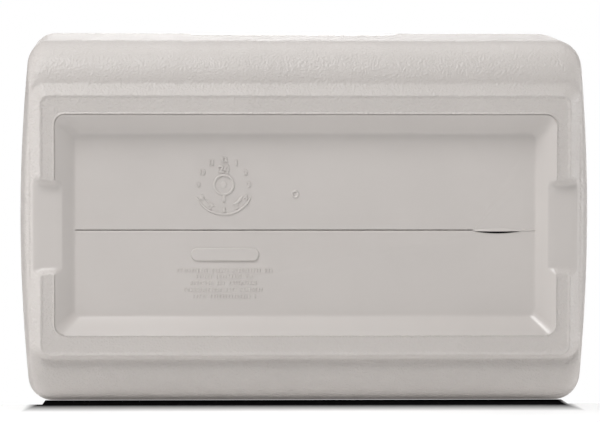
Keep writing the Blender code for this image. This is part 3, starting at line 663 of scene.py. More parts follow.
def pocket_rings(floor, wall, mouth, radius):
    """Rings of a cutter with a rounded floor edge, and a mouth rounded over where it meets the wall."""
    rings = [(-radius - 0.0004, floor)]
    for sine, cosine in quarter(4):
        rings.append((-radius * (1 - sine), floor + radius * (1 - cosine)))
    last = math.radians(80)
    steps = 5
    for step in range(steps + 1):
        angle = last * step / steps
        drop = mouth * (1 - math.sin(angle))
        rings.append((mouth * (1 - math.cos(angle)), lambda u, v, drop=drop: wall(u, v) - drop))
    over = MOUTH_OVERRUN
    grow = mouth * (1 - math.cos(last)) + over * math.sin(last)
    rise = over * math.cos(last) - mouth * (1 - math.sin(last))
    rings.append((grow, lambda u, v: wall(u, v) + rise))
    rings.append((grow, lambda u, v: wall(u, v) + 0.02))
    return rings


def turned(name, profile, place, sides=32, loop=False):
    """Closed mesh turned about an axis; the profile is (radius, height) points."""
    rings = []
    for radius, height in profile:
        ring = []
        for i in range(sides):
            angle = 2 * math.pi * i / sides
            ring.append(place(radius * math.cos(angle), radius * math.sin(angle), height))
        rings.append(ring)
    return rings_mesh(name, rings, loop)


def rod(name, start, end, radius, sides=32, edge=0.0):
    """A round rod between two points, its ends rounded over by an edge radius."""
    start = Vector(start)
    along = Vector(end) - start
    turn = along.to_track_quat("Z", "Y").to_matrix()
    profile = [(radius, 0.0), (radius, along.length)]
    if edge:
        profile = [(radius - edge * 1.3, 0.0)]
        profile += [(radius - edge * (1 - sine), edge * (1 - cosine)) for sine, cosine in quarter(3)]
        profile += [(r, along.length - z) for r, z in reversed(profile)]
    return turned(name, profile, lambda u, v, w: start + turn @ Vector((u, v, w)), sides)


def box(name, low, high):
    """A plain box for cutting with."""
    bm = bmesh.new()
    size = Vector(high) - Vector(low)
    middle = (Vector(high) + Vector(low)) / 2
    bmesh.ops.create_cube(bm, size=1.0, matrix=Matrix.Translation(middle) @ Matrix.Diagonal((*size, 1.0)))
    return mesh_from(bm, name)


def sweep(name, path, radius, place, sides=20):
    """A round bar along a flat path of (a, b) points, its ends domed."""
    rings = []
    count = len(path)
    for i, (a, b) in enumerate(path):
        before = Vector(path[max(i - 1, 0)])
        after = Vector(path[min(i + 1, count - 1)])
        along = (after - before).normalized()
        across = Vector((-along.y, along.x))
        ring = []
        for k in range(sides):
            angle = 2 * math.pi * k / sides
            flat = Vector((a, b)) + across * radius * math.cos(angle)
            ring.append((flat, radius * math.sin(angle), along, Vector((a, b))))
        rings.append(ring)
    def cap(ring, scale, out):
        return [(centre + (flat - centre) * scale + along * (radius * out), depth * scale, along, centre)
                for flat, depth, along, centre in ring]
    first, last = rings[0], rings[-1]
    rings = [cap(first, 0.35, -0.16), cap(first, 0.75, -0.08)] + rings
    rings += [cap(last, 0.75, 0.08), cap(last, 0.35, 0.16)]
    return rings_mesh(name, [[place(flat.x, flat.y, depth) for flat, depth, _, _ in ring]
                             for ring in rings])


def joined(name, meshes):
    """Several closed meshes as one mesh."""
    bm = bmesh.new()
    for mesh in meshes:
        bm.from_mesh(mesh)
    return mesh_from(bm, name)


def combined(name, mesh, unions=(), cuts=(), solver="MANIFOLD"):
    """The mesh after joining to and cutting by other closed meshes, as new data."""
    helpers = []
    obj = bpy.data.objects.new(name, mesh)
    bpy.context.collection.objects.link(obj)
    for operation, others in (("UNION", unions), ("DIFFERENCE", cuts)):
        for other in others:
            helper = bpy.data.objects.new("helper", other)
            bpy.context.collection.objects.link(helper)
            helpers.append(helper)
            modifier = obj.modifiers.new(operation, "BOOLEAN")
            modifier.operation = operation
            modifier.solver = solver
            modifier.object = helper
    graph = bpy.context.evaluated_depsgraph_get()
    result = bpy.data.meshes.new_from_object(obj.evaluated_get(graph))
    result.name = name
    for helper in helpers + [obj]:
        bpy.data.objects.remove(helper)
    return result


# ---------------------------------------------------------------- walls and the pockets cut in them

def front_wall(z):
    """Distance of the front wall from the middle plane at a level."""
    if z > LID_SHOULDER_Z:
        share = min((z - LID_SHOULDER_Z) / (LID_EDGE_Z - LID_SHOULDER_Z), 1.0)
        return COLLAR["hy"] - LID_ROUND * (1 - math.sqrt(1 - share * share))
    share = min(max((z - WALL_Z) / (COLLAR_Z - WALL_Z), 0.0), 1.0)
    section = mixed(WALL_LOW, COLLAR, share)
    return section["hy"] - section["cy"]


def end_wall(y, z):
    """Distance of the bowed end wall from the middle at a point."""
    share = min(max((z - WALL_Z) / (COLLAR_Z - WALL_Z), 0.0), 1.0)
    section = mixed(WALL_LOW, COLLAR, share)
    return section["hx"] + section["bow"] * (1 - ((y - section["cy"]) / section["hy"]) ** 2)


def front_place(cx, cz):
    """Placing function for things on the front: u to the right, v up, w outwards from the middle plane."""
    return lambda u, v, w: (cx + u, CENTRE_Y - w, cz + v)


def back_place(cx, cz):
    """Placing function for things on the back."""
    return lambda u, v, w: (cx + u, CENTRE_Y + w, cz + v)


def end_place(side, cy, cz):
    """Placing function for things on an end: u along Y, v up, w outwards."""
    return lambda u, v, w: (side * w, CENTRE_Y + cy + u, cz + v)


def base_place(cx, cy):
    """Placing function for marks on the pocket floor, read from below: u right, v up, w to the reader."""
    return lambda u, v, w: (cx + u, CENTRE_Y + cy - v, POCKET_Z - w)


def latch_pockets():
    """Cutters of the two latch recesses."""
    half = (LATCH_RECESS_WIDTH / 2, (LATCH_RECESS_Z[1] - LATCH_RECESS_Z[0]) / 2)
    centre = sum(LATCH_RECESS_Z) / 2
    rings = pocket_rings(LATCH_FLOOR, lambda u, v: front_wall(centre + v), 0.0020, 0.0020)
    return [stack("latch_pocket", half, 0.0050, rings, front_place(side * LATCH_X, centre), 8)
            for side in SIDES]


def handle_pockets():
    """Cutters of the two handle recesses."""
    half = (HANDLE_RECESS_HALF, (HANDLE_RECESS_Z[1] - HANDLE_RECESS_Z[0]) / 2)
    centre = sum(HANDLE_RECESS_Z) / 2
    rings = pocket_rings(HANDLE_RECESS_X, lambda u, v: end_wall(u, centre + v), 0.0022, 0.0025)
    return [stack("handle_pocket", half, 0.0060, rings, end_place(side, 0, centre), 16)
            for side in SIDES]


def barrel_cutters(grow):
    """Cutters that clear the hinge barrels."""
    half = LEAF_WIDTH / 2 + 0.001 + grow
    return [rod("barrel_room", (side * HINGE_X - half, HINGE_Y + CENTRE_Y, HINGE_Z),
                (side * HINGE_X + half, HINGE_Y + CENTRE_Y, HINGE_Z), BARREL_R + 0.0008 + grow, 40)
            for side in SIDES]


def wall_boxes():
    """Boxes that keep a wall round each recess when they are cut from a shell's core."""
    boxes = []
    for side in SIDES:
        half = LATCH_RECESS_WIDTH / 2 + SHELL_WALL
        boxes.append(box("latch_wall", (side * LATCH_X - half, -0.20, LATCH_RECESS_Z[0] - SHELL_WALL),
                         (side * LATCH_X + half, CENTRE_Y - LATCH_FLOOR + SHELL_WALL,
                          LATCH_RECESS_Z[1] + SHELL_WALL)))
        xs = sorted((side * (HANDLE_RECESS_X - SHELL_WALL), side * 0.28))
        wide = HANDLE_RECESS_HALF + SHELL_WALL
        boxes.append(box("handle_wall", (xs[0], CENTRE_Y - wide, HANDLE_RECESS_Z[0] - SHELL_WALL),
                         (xs[1], CENTRE_Y + wide, HANDLE_RECESS_Z[1] + SHELL_WALL)))
    return boxes


def screw_seats():
    """Node name, head seat, outward direction and holder of every screw."""
    seats = []
    for side, word in WORDS:
        for leaf, way in (("body", -1), ("lid", 1)):
            for along, end in ((-1, "outer"), (1, "inner")):
                seat = Vector((side * (HINGE_X - along * HINGE_SCREW_X),
                               CENTRE_Y + LEAF_FACE + LEAF_THICKNESS, HINGE_Z + way * HINGE_SCREW_DROP))
                seats.append((f"hinge_screw_{leaf}_{word}_{end}", seat, Vector((0, 1, 0)), leaf))
        for along, end in ((-1, "outer"), (1, "inner")):
            seat = Vector((side * (LATCH_X - along * KEEPER_SCREW_X), CENTRE_Y - KEEPER_FACE, KEEPER_Z))
            seats.append((f"keeper_screw_{word}_{end}", seat, Vector((0, -1, 0)), "body"))
        for along, end in ((-1, "front"), (1, "back")):
            seat = Vector((side * BRACKET_SEAT_X, CENTRE_Y + along * BRACKET_Y, BRACKET_SCREW_Z))
            seats.append((f"handle_screw_{word}_{end}", seat, Vector((side, 0, 0)), "body"))
    return seats


def screw_rods(owner, above, below, radius):
    """Rods along the screws of the body or the lid."""
    return [rod("screw_room", seat + out * above, seat - out * below, radius, 16)
            for _, seat, out, holder in screw_seats() if holder == owner]


def pilot_holes(owner):
    """Holes that the screws of the body or the lid turn into."""
    return screw_rods(owner, 0.002, SCREW_LENGTH, SCREW_PILOT_R)


def boss_rods(owner, room=0.0):
    """Rods that leave a boss round each screw when cut from a core, and make room for it in a pan."""
    return screw_rods(owner, 0.001, BOSS_DEPTH + BOSS_FLOOR, BOSS_R + room)


def plate_holes(start, above, below):
    """Holes through a plate for the screws whose names start so."""
    return [rod("seat", seat + out * above, seat - out * below, SCREW_PILOT_R, 20)
            for name, seat, out, _ in screw_seats() if name.startswith(start)]


# ---------------------------------------------------------------- body, liner, lid

def core_sections():
    """The hollow inside the body's outer shell."""
    wall = SHELL_WALL
    shift = MITRE * wall
    sections = [at(POCKET_FLOOR, POCKET_Z + wall, shift), at(POCKET_RIM, wall, shift),
                at(FOOT_FACE, wall, -shift), at(FOOT_BASE, FOOT_Z + wall, -shift)]
    for sine, cosine in quarter(8, 1):
        section = at(mixed(FOOT_BASE, WALL_LOW, sine), 0.0, -wall * sine)
        section["z"] = FOOT_Z + (WALL_Z - FOOT_Z) * (1 - cosine) + wall * cosine
        sections.append(section)
    return sections + [at(COLLAR, COLLAR_Z, -wall), at(COLLAR, SHELL_TOP_Z + 0.01, -wall)]


def slit_edge(way, spread):
    """Points along one edge of the slit."""
    return [(SLIT_X + t * SLIT_LENGTH / 2, SLIT_Y + way * SLIT_WIDTH / 2 * (1 - t * t)) for t in spread]


def slit_cutter():
    """Lens-shaped opening at the end of the parting line."""
    steps = 24
    spread = [-1 + 2 * step / steps for step in range(steps + 1)]
    edges = slit_edge(-1, spread) + slit_edge(1, spread[-2:0:-1])
    levels = (POCKET_Z - 0.002, POCKET_Z + SHELL_WALL + 0.002)
    return rings_mesh("slit", [[(x, y + CENTRE_Y, z) for x, y in edges] for z in levels])


def seam_cutter():
    """Groove of the parting line across the pocket floor: a deep upper side and a sloped lower side."""
    left = -POCKET_FLOOR["hx"] + 0.001
    right = SLIT_X - SLIT_LENGTH / 2 - 0.0005
    profile = [(-0.6, -0.0010), (-0.6, SEAM_DEPTH), (0.3, SEAM_DEPTH), (0.35, 0.0006), (1.3, -0.0001),
               (1.3, -0.0010)]
    rings = []
    for x in (left, right):
        rings.append([(x, CENTRE_Y + SEAM_Y + SEAM_WIDTH * across, POCKET_Z + deep)
                      for across, deep in profile])
    return rings_mesh("seam", rings)


def rim_cutter():
    """Narrow gap along the front and left side of the pocket rim, between the notch and the far corner."""
    inner, middle, outer = (outline(at(POCKET_RIM, 0.0, grow)) for grow in RIM_GAP_EDGES)
    count = len(inner)
    left = [i for i in range(count // 2 + 1, count) if inner[i][0] < 0]
    path = left + list(range(left[-1] + 1, count)) + list(range(CORNER_STEPS))
    deep = STEP_Z + RIM_GAP_DEPTH
    rings = []
    for i in path:
        section = ((outer[i], -0.001), (outer[i], deep * 0.7), (middle[i], deep), (inner[i], deep * 0.8),
                   (inner[i], -0.001))
        rings.append([(x, y + CENTRE_Y, z) for (x, y), z in section])
    return rings_mesh("rim_gap", rings)


def make_body():
    """Outer shell, grained outside and smooth in the pocket and notches."""
    core = combined("core", loft("core", core_sections(), lambda x, y, z: notch_lift(x, y, z, SHELL_WALL)),
                    cuts=wall_boxes() + barrel_cutters(SHELL_WALL) + boss_rods("body"))
    cuts = [core, slit_cutter(), seam_cutter(), rim_cutter()] + latch_pockets() + handle_pockets()
    cuts += barrel_cutters(0.0) + pilot_holes("body")
    mesh = combined("cooler_body", loft("outer", body_sections(), notch_lift), cuts=cuts)
    mesh.materials.clear()
    mesh.materials.append(MATERIAL["shell_grained"])
    mesh.materials.append(MATERIAL["shell_smooth"])
    rim_x = POCKET_RIM["hx"] + 0.0003
    rim_y = POCKET_RIM["hy"] + 0.0003
    for face in mesh.polygons:
        x, y, z = face.center
        y -= CENTRE_Y
        in_pocket = abs(x) < rim_x and abs(y - POCKET_RIM["cy"]) < rim_y and 0.0001 < z < POCKET_Z + 0.001
        in_length = NOTCH_FRONT_Y - 0.0015 < y < NOTCH_BACK_Y + 0.0015
        in_notch = in_length and abs(z - NOTCH_Z) < 0.0012 and 0.2 < abs(x) < FOOT_BASE["hx"]
        face.material_index = 1 if in_pocket or in_notch else 0
    add_piece("cooler_body", mesh, None, "body", "shell", "body_shell")


def fillet(section, low, radius, offset, steps):
    """Stations round the lower edge of a tub or a pan, from its floor out and up to its wall."""
    return [(at(section, low + radius * (1 - cosine), offset - radius * (1 - sine)), 0)
            for sine, cosine in quarter(steps)]


def make_tub():
    """The inner tub, whose rim covers the foam and rests on the shell."""
    flange = SHELL_TOP_Z + GAP
    low_rim = between(at(TUB_LOW, TUB_FLOOR_Z + TUB_FILLET, LINER_WALL), at(TUB_HIGH, RIM_Z, LINER_WALL),
                      flange)
    stations = [(at(TUB_LOW, TUB_FLOOR_Z, -TUB_FILLET - 0.004), 0)]
    stations += fillet(TUB_LOW, TUB_FLOOR_Z, TUB_FILLET, 0.0, 10)
    stations += [(at(TUB_HIGH, RIM_Z), 0.0025), (at(COLLAR, RIM_Z, -0.001), 0.0009),
                 (at(COLLAR, flange, -0.001), 0.0009), (low_rim, 0)]
    stations += reversed(fillet(TUB_LOW, TUB_FLOOR_Z - LINER_WALL, TUB_FILLET, LINER_WALL, 5))
    liner = combined("inner_tub", loft("tub", rounded(stations)),
                     cuts=latch_pockets() + handle_pockets() + barrel_cutters(0.0))
    add_piece("inner_tub", liner, MATERIAL["liner"], "body", "liner", "body_liner")


def lid_ring(inset, z):
    """A section inside the collar whose corners never get tighter than the lid's corner radius."""
    section = at(COLLAR, z, -inset)
    section["r"] = max(section["r"], LID_CORNER_R)
    return section


def lid_stations(offset=0.0):
    """Stations round the lid's upper edge, or at an offset inside it."""
    stations = []
    for sine, cosine in quarter(14):
        z = LID_SHOULDER_Z + (LID_EDGE_Z - LID_SHOULDER_Z) * sine
        inward = LID_ROUND * (1 - cosine) + offset * cosine
        stations.append((lid_ring(inward, z - offset * sine), 0))
    return stations


def make_cover():
    """Outer cover of the lid, with a raised border round its sunken top."""
    stations = [(at(COLLAR, LID_BOTTOM_Z - 0.01, -SHELL_WALL), 0)] + lid_stations(SHELL_WALL)
    stations += [(lid_ring(0.024, LID_TOP_Z - SHELL_WALL), 0),
                 (lid_ring(0.027, LID_PANEL_Z - SHELL_WALL), 0)]
    core = combined("lid_core", loft("lid_core", [section for section, _ in stations]),
                    cuts=wall_boxes() + barrel_cutters(SHELL_WALL) + boss_rods("lid"))
    stations = [(at(COLLAR, LID_BOTTOM_Z, -0.0012), 0), (at(COLLAR, LID_BOTTOM_Z), 0.0008)] + lid_stations()
    top = [(0.0240, 0.0, 0.0022), (0.0270, -0.0020, 0.0012), (0.0440, -0.0020, 0.0010),
           (0.0454, -0.0006, 0.0008), (0.0560, -0.0006, 0.0010), (0.0574, -0.0020, 0.0008),
           (0.0650, -0.0020, 0)]
    stations += [(lid_ring(inset, LID_TOP_Z + rise), cut) for inset, rise, cut in top]
    reach = LATCH_RECESS_WIDTH / 2 + LATCH_HOLE_SEAT
    axis = (CENTRE_Y + LATCH_Y, LATCH_Z)
    pin_holes = [rod("pin_room", (side * LATCH_X - reach, *axis), (side * LATCH_X + reach, *axis),
                     LATCH_PIN_R + GAP, 24) for side in SIDES]
    cuts = [core] + latch_pockets() + barrel_cutters(0.0) + pin_holes + pilot_holes("lid")
    cover = combined("lid_cover", loft("lid", rounded(stations)), cuts=cuts)
    add_piece("lid_cover", cover, MATERIAL["shell_grained"], "lid", "shell", "lid_shell")


def make_pan():
    """Inner pan of the lid: a plug that goes into the tub, and a flange inside the cover."""
    flange_top = LID_FLANGE_Z + LINER_WALL
    stations = [(at(PLUG, PLUG_Z + 0.0010, -0.0330), 0), (at(PLUG, PLUG_Z + 0.0010, -0.0320), 0.0010),
                (at(PLUG, PLUG_Z, -0.0300), 0.0010)]
    stations += fillet(PLUG, PLUG_Z, PLUG_FILLET, 0.0, 8)
    stations += [(at(PLUG, LID_FLANGE_Z), 0.0015), (at(COLLAR, LID_FLANGE_Z, -SHELL_WALL - GAP), 0),
                 (at(COLLAR, flange_top, -SHELL_WALL - GAP), 0), (at(PLUG, flange_top, -LINER_WALL), 0)]
    stations += reversed(fillet(PLUG, PLUG_Z + LINER_WALL, PLUG_FILLET, -LINER_WALL, 4))
    pan = combined("lid_pan", loft("pan", rounded(stations)),
                   cuts=wall_boxes() + barrel_cutters(SHELL_WALL + GAP) + boss_rods("lid", GAP))
    add_piece("lid_pan", pan, MATERIAL["liner"], "lid", "liner", "lid_liner")


def make_gasket():
    """Seal round the lid's flange, with a flattened round section."""
    steps = 18
    low, high = GASKET_Z
    ring = []
    for step in range(steps):
        angle = 2 * math.pi * step / steps
        flat = math.copysign(abs(math.sin(angle)) ** 0.6, math.sin(angle))
        ring.append(lid_ring(GASKET_INSET - GASKET_HALF_WIDTH * math.cos(angle),
                             0.5 * (low + high) + 0.5 * (high - low) * flat))
    gasket = rings_mesh("gasket", [[(x, y + CENTRE_Y, s["z"]) for x, y in outline(s)] for s in ring],
                        loop=True)
    add_piece("lid_seal", gasket, MATERIAL["gasket"], "lid", "gasket", "lid_gasket", sharp=60.0)


# ---------------------------------------------------------------- hinges, screws, latches and handles

def make_hinges():
    """Leaves with rolled knuckles, and pins with domed ends."""
    for side, word in WORDS:
        centre = side * HINGE_X
        axis = (CENTRE_Y + HINGE_Y, HINGE_Z)
        bore = rod("bore", (centre - 0.04, *axis), (centre + 0.04, *axis), PIN_R + GAP, 24)
        half = LEAF_WIDTH / 2
        inner = half - KNUCKLE_WIDTH
        for leaf, way in (("body", -1), ("lid", 1)):
            spans = [(-half, -inner), (inner, half)] if way < 0 else [(-inner + 0.0005, inner - 0.0005)]
            near = BARREL_R + 0.0007
            size = (half, (LEAF_HEIGHT - near) / 2)
            place = back_place(centre, HINGE_Z + way * (LEAF_HEIGHT + near) / 2)
            plate = stack("leaf", size, LEAF_CORNER,
                          block_rings(LEAF_FACE, LEAF_FACE + LEAF_THICKNESS, LEAF_EDGE), place)
            rolls = []
            for low, high in spans:
                neck_half = ((high - low) / 2, (BARREL_R + 0.004) / 2)
                neck_place = back_place(centre + (low + high) / 2, HINGE_Z + way * neck_half[1])
                neck_rings = block_rings(LEAF_FACE, LEAF_FACE + LEAF_THICKNESS, LEAF_EDGE / 2)
                rolls.append(stack("neck", neck_half, 0.0004, neck_rings, neck_place))
                rolls.append(rod("roll", (centre + low, *axis), (centre + high, *axis), BARREL_R, 40,
                                 0.0005))
            holes = plate_holes(f"hinge_screw_{leaf}_{word}", 0.004, 0.006)
            mesh = combined(f"leaf_{leaf}_{word}", plate, rolls, [bore] + holes)
            add_piece(f"hinge_leaf_{leaf}_{word}_fine", mesh, MATERIAL["hardware"], leaf, "hardware",
                      f"hinge_{leaf}_leaf_{word}")
        reach = half + 0.0007
        pin = rod("pin", (centre - reach, *axis), (centre + reach, *axis), PIN_R, 24, 0.0006)
        add_piece(f"hinge_pin_{word}_fine", pin, MATERIAL["steel"], "body", "steel", f"hinge_pin_{word}")


def screw_mesh():
    """Pan head screw along +Z, its seat at the origin, with a cross recess and a threaded shank."""
    profile = [(0.0002, -SCREW_LENGTH), (0.0008, -SCREW_LENGTH + 0.0012)]
    turns = 9
    for step in range(turns):
        z = -SCREW_LENGTH + 0.0016 + step * 0.0008
        profile += [(0.0009, z), (SCREW_R, z + 0.0004)]
    profile += [(0.0010, -0.0008), (SCREW_R, -0.0002), (SCREW_R, GAP), (SCREW_HEAD_R - 0.0002, GAP),
                (SCREW_HEAD_R, GAP + 0.0002), (SCREW_HEAD_R, 0.0008)]
    for step in range(1, 7):
        angle = math.radians(90 * step / 6)
        profile.append((SCREW_HEAD_R * math.cos(angle) ** 0.8 if step < 6 else 0.0004,
                        0.0008 + (SCREW_HEAD_H - 0.0008) * math.sin(angle)))
    plain = turned("screw", profile, lambda u, v, w: (u, v, w), 28)
    arms = []
    for half in ((0.0018, 0.00042), (0.00042, 0.0018)):
        rings = [(-0.0002, SCREW_HEAD_H - 0.0010), (0.0, SCREW_HEAD_H + 0.001)]
        arms.append(stack("slot", half, 0.0001, rings, lambda u, v, w: (u, v, w)))
    return combined("screw_fine", plain, cuts=arms)


def make_screws():
    """Every screw, each turned to its own angle."""
    mesh = screw_mesh()
    for number, (node, seat, out, holder) in enumerate(screw_seats()):
        turn = out.to_track_quat("Z", "Y").to_matrix().to_4x4()
        spin = Matrix.Rotation(math.radians(SCREW_SPIN * number % 90), 4, "Z")
        placed = mesh.copy()
        placed.transform(Matrix.Translation(seat) @ turn @ spin)
        add_piece(f"{node}_fine", placed, MATERIAL["steel"], holder, "steel", node)


def ridges(x, start, step, count, half_height, low, high):
    """Raised ridges across a strap, from a level upwards."""
    rings = block_rings(low, high, RIDGE_EDGE)
    return [stack("ridge", (RIDGE_HALF_WIDTH, half_height), half_height - 0.00001, rings,
                  front_place(x, start + step * row)) for row in range(count)]


def strap_mesh(x, axis):
    """Rubber strap with an eye round its pin, ridges, a window for the keeper's hook and a pull lip."""
    front = -LATCH_Y + STRAP_THICKNESS / 2
    back = -LATCH_Y - STRAP_THICKNESS / 2
    half = (STRAP_WIDTH / 2, (LATCH_Z - STRAP_BOTTOM) / 2)
    strap = stack("strap", half, 0.0030, block_rings(back, front, 0.0009, both=True),
                  front_place(x, (LATCH_Z + STRAP_BOTTOM) / 2))
    lip = stack("lip", (STRAP_WIDTH / 2, STRAP_LIP_HALF), 0.0028,
                block_rings(back + 0.0006, front + 0.0012, 0.0012, both=True),
                front_place(x, STRAP_BOTTOM + STRAP_LIP_HALF))
    eye = rod("eye", (x - half[0], *axis), (x + half[0], *axis), LATCH_EYE_R, 36, 0.0006)
    raised = ridges(x, KEEPER_Z + 0.0120, 0.0042, 7, 0.0008, front - 0.0005, front + 0.0009)
    raised += ridges(x, STRAP_BOTTOM + 0.0036, 0.0034, 3, 0.0007, front, front + 0.0018)
    bore = rod("bore", (x - 0.03, *axis), (x + 0.03, *axis), LATCH_PIN_R + GAP, 24)
    window = stack("window", WINDOW_HALF, WINDOW_CORNER, [(0.0, deep) for deep in WINDOW_SPAN],
                   front_place(x, KEEPER_Z))
    return combined("strap", strap, [lip, eye] + raised, [bore, window])


def make_latches():
    """Rubber straps, their pins and the keepers that they catch."""
    for side, word in WORDS:
        x = side * LATCH_X
        axis = (CENTRE_Y + LATCH_Y, LATCH_Z)
        add_piece(f"latch_{word}_fine", strap_mesh(x, axis), MATERIAL["rubber"], f"latch_{word}", "rubber",
                  f"latch_strap_{word}")

        reach = LATCH_RECESS_WIDTH / 2 + LATCH_PIN_SEAT
        pin = rod("pin", (x - reach, *axis), (x + reach, *axis), LATCH_PIN_R, 24, 0.0004)
        add_piece(f"latch_pin_{word}_fine", pin, MATERIAL["steel"], "lid", "steel", f"latch_pin_{word}")

        plate = stack("keeper", KEEPER_HALF, KEEPER_CORNER,
                      block_rings(KEEPER_FACE - KEEPER_THICKNESS, KEEPER_FACE, 0.0005),
                      front_place(x, KEEPER_Z))
        mesh = combined("keeper", plate, [hook_mesh(x)], plate_holes(f"keeper_screw_{word}", 0.003, 0.004))
        add_piece(f"latch_keeper_{word}_fine", mesh, MATERIAL["hardware"], "body", "hardware",
                  f"latch_keeper_{word}")


def hook_mesh(x):
    """The keeper's nose, rounded in front and undercut below."""
    width, reach, height = KEEPER_HOOK
    foot = KEEPER_FACE - 0.0006
    tip = KEEPER_FACE + reach
    profile = [(foot, height / 2), (tip - 0.0012, height / 2 - 0.0010)]
    for step in range(1, 6):
        angle = math.radians(90 - 90 * step / 5)
        profile.append((tip - 0.0014 + 0.0014 * math.cos(angle),
                        height / 2 - 0.0024 + 0.0014 * math.sin(angle)))
    profile += [(tip, -height / 2 + 0.0003), (tip - 0.0003, -height / 2), (tip - 0.0012, -height / 2),
                (foot, -height / 2 + 0.0016)]
    rings = []
    for share, along in ((0.86, -1.0), (1.0, -0.94), (1.0, 0.94), (0.86, 1.0)):
        ring = []
        for w, v in profile:
            deep = foot + (w - foot) * share
            ring.append(front_place(x, KEEPER_Z)(along * width / 2, v * share, deep))
        rings.append(ring)
    return rings_mesh("hook", rings)


def handle_path():
    """Points along the handle's bent bar in Y and Z, from one stub to the other."""
    def bend(cy, cz, radius, first, last, steps=10):
        angles = [math.radians(first + (last - first) * i / steps) for i in range(steps + 1)]
        return [(cy + radius * math.cos(a), cz + radius * math.sin(a)) for a in angles]
    arm = HANDLE_ARM_Y
    top = bend(arm + HANDLE_STUB_BEND, -HANDLE_STUB_BEND, HANDLE_STUB_BEND, 90, 180)
    foot = bend(arm - HANDLE_BEND, -HANDLE_DROP + HANDLE_BEND, HANDLE_BEND, 0, -90)
    right = [(HANDLE_STUB_Y - 0.001, 0.0)] + top + foot
    left = [(-y, z) for y, z in reversed(right)]
    return right + left


def grip_profile():
    """Radius and place along the ribbed sleeve: out along its outside and back along its bore."""
    half = GRIP_LENGTH / 2
    ribs = 11
    outside = []
    steps = 132
    for step in range(steps + 1):
        along = -1 + 2 * step / steps
        edge = min((1 - abs(along)) * half / 0.0020, 1.0)
        dome = math.sqrt(1 - (1 - edge) ** 2)
        groove = 0.5 + 0.5 * math.cos(math.pi * ribs * (along + 1))
        depth = 0.0007 * groove ** 3 if abs(along) < 0.93 else 0.0
        outside.append((GRIP_BORE + 0.0008 + (GRIP_R - GRIP_BORE - 0.0008) * dome - depth, along * half))
    bore = [(GRIP_BORE, half), (GRIP_BORE, -half)]
    return outside + bore


def bracket_mesh(side, along, screw):
    """Bracket of a handle: a block with a socket for the stub, and a screwed foot with a web."""
    y = along * BRACKET_Y
    back = HANDLE_RECESS_X + GAP
    half = (BRACKET_HALF, (BRACKET_Z[1] - BRACKET_Z[0]) / 2)
    block = stack("block", half, BRACKET_CORNER, block_rings(back, BRACKET_OUT_X, BRACKET_EDGE, steps=5),
                  end_place(side, y, sum(BRACKET_Z) / 2))
    foot_z = (BRACKET_FOOT_Z, BRACKET_Z[0] + 0.004)
    foot = stack("foot", (BRACKET_HALF, (foot_z[1] - foot_z[0]) / 2), 0.0030,
                 block_rings(back, BRACKET_SEAT_X, 0.0006), end_place(side, y, sum(foot_z) / 2))
    web = stack("web", WEB_HALF, WEB_EDGE, block_rings(back, BRACKET_SEAT_X + 0.0030, WEB_EDGE),
                end_place(side, y, BRACKET_Z[0] - 0.0010))
    socket = rod("socket", (side * HANDLE_X, CENTRE_Y + along * (BRACKET_Y - 0.02), HANDLE_Z),
                 (side * HANDLE_X, CENTRE_Y + along * (HANDLE_STUB_Y + GAP), HANDLE_Z),
                 HANDLE_R + SOCKET_ROOM, 28)
    return combined("bracket", block, [foot, web], [socket] + plate_holes(screw, 0.003, 0.004))


def make_handles():
    """Bent bar, ribbed grip and two brackets at each end."""
    for side, word in WORDS:
        place = end_place(side, 0, HANDLE_Z)
        bar = sweep("bar", handle_path(), HANDLE_R, lambda a, b, depth: place(a, b, HANDLE_X + depth))
        add_piece(f"handle_bar_{word}_fine", bar, MATERIAL["hardware"], f"handle_{word}", "hardware",
                  f"handle_bar_{word}")
        sleeve = turned("sleeve", grip_profile(), lambda u, v, w: place(w, u - HANDLE_DROP, HANDLE_X + v),
                        36, loop=True)
        add_piece(f"handle_grip_{word}_fine", sleeve, MATERIAL["rubber"], f"handle_{word}", "rubber",
                  f"handle_grip_{word}")
        for along, end in ((-1, "front"), (1, "back")):
            mesh = bracket_mesh(side, along, f"handle_screw_{word}_{end}")
            add_piece(f"handle_bracket_{word}_{end}_fine", mesh, MATERIAL["hardware"], "body", "hardware",
                      f"handle_bracket_{word}_{end}")


# ---------------------------------------------------------------- moulded marks

def dome(width, height, steps=5):
    """Section of a low rounded rib, (distance from its middle line, height), from one foot to the other."""
    points = []
    for step in range(steps * 2 + 1):
        angle = math.radians(180 * step / (steps * 2))
        points.append((-math.cos(angle) * width / 2, height * math.sin(angle) ** 0.8))
    return points


def arc_rib(place, radius, width, first, last, height):
    """A raised rounded rib along an arc."""
    steps = max(int(abs(last - first) / 5), 3)
    rings = []
    for i in range(steps + 1):
        angle = math.radians(first + (last - first) * i / steps)
        share = 0.35 if i in (0, steps) else 1.0
        ring = [((radius + across * share), high * share) for across, high in dome(width, height)]
        ring = [(ring[0][0], -MARK_ROOT)] + ring + [(ring[-1][0], -MARK_ROOT)]
        rings.append([place(r * math.cos(angle), r * math.sin(angle), high) for r, high in ring])
    return rings_mesh("rib", rings)


def turned_mark(place, inner, outer, height):
    """A raised rounded ring, or a round dot if its inner radius is zero."""
    if inner > 0:
        middle = (inner + outer) / 2
        profile = [(middle + across, high) for across, high in dome(outer - inner, height)]
        profile = [(inner, -MARK_ROOT)] + profile + [(outer, -MARK_ROOT)]
        return turned("ring", profile, place, 40, loop=True)
    profile = [(outer, -MARK_ROOT)] + [(outer * cosine, height * sine) for sine, cosine in quarter(6)[:-1]]
    return turned("dot", profile + [(outer * 0.05, height)], place, 28)


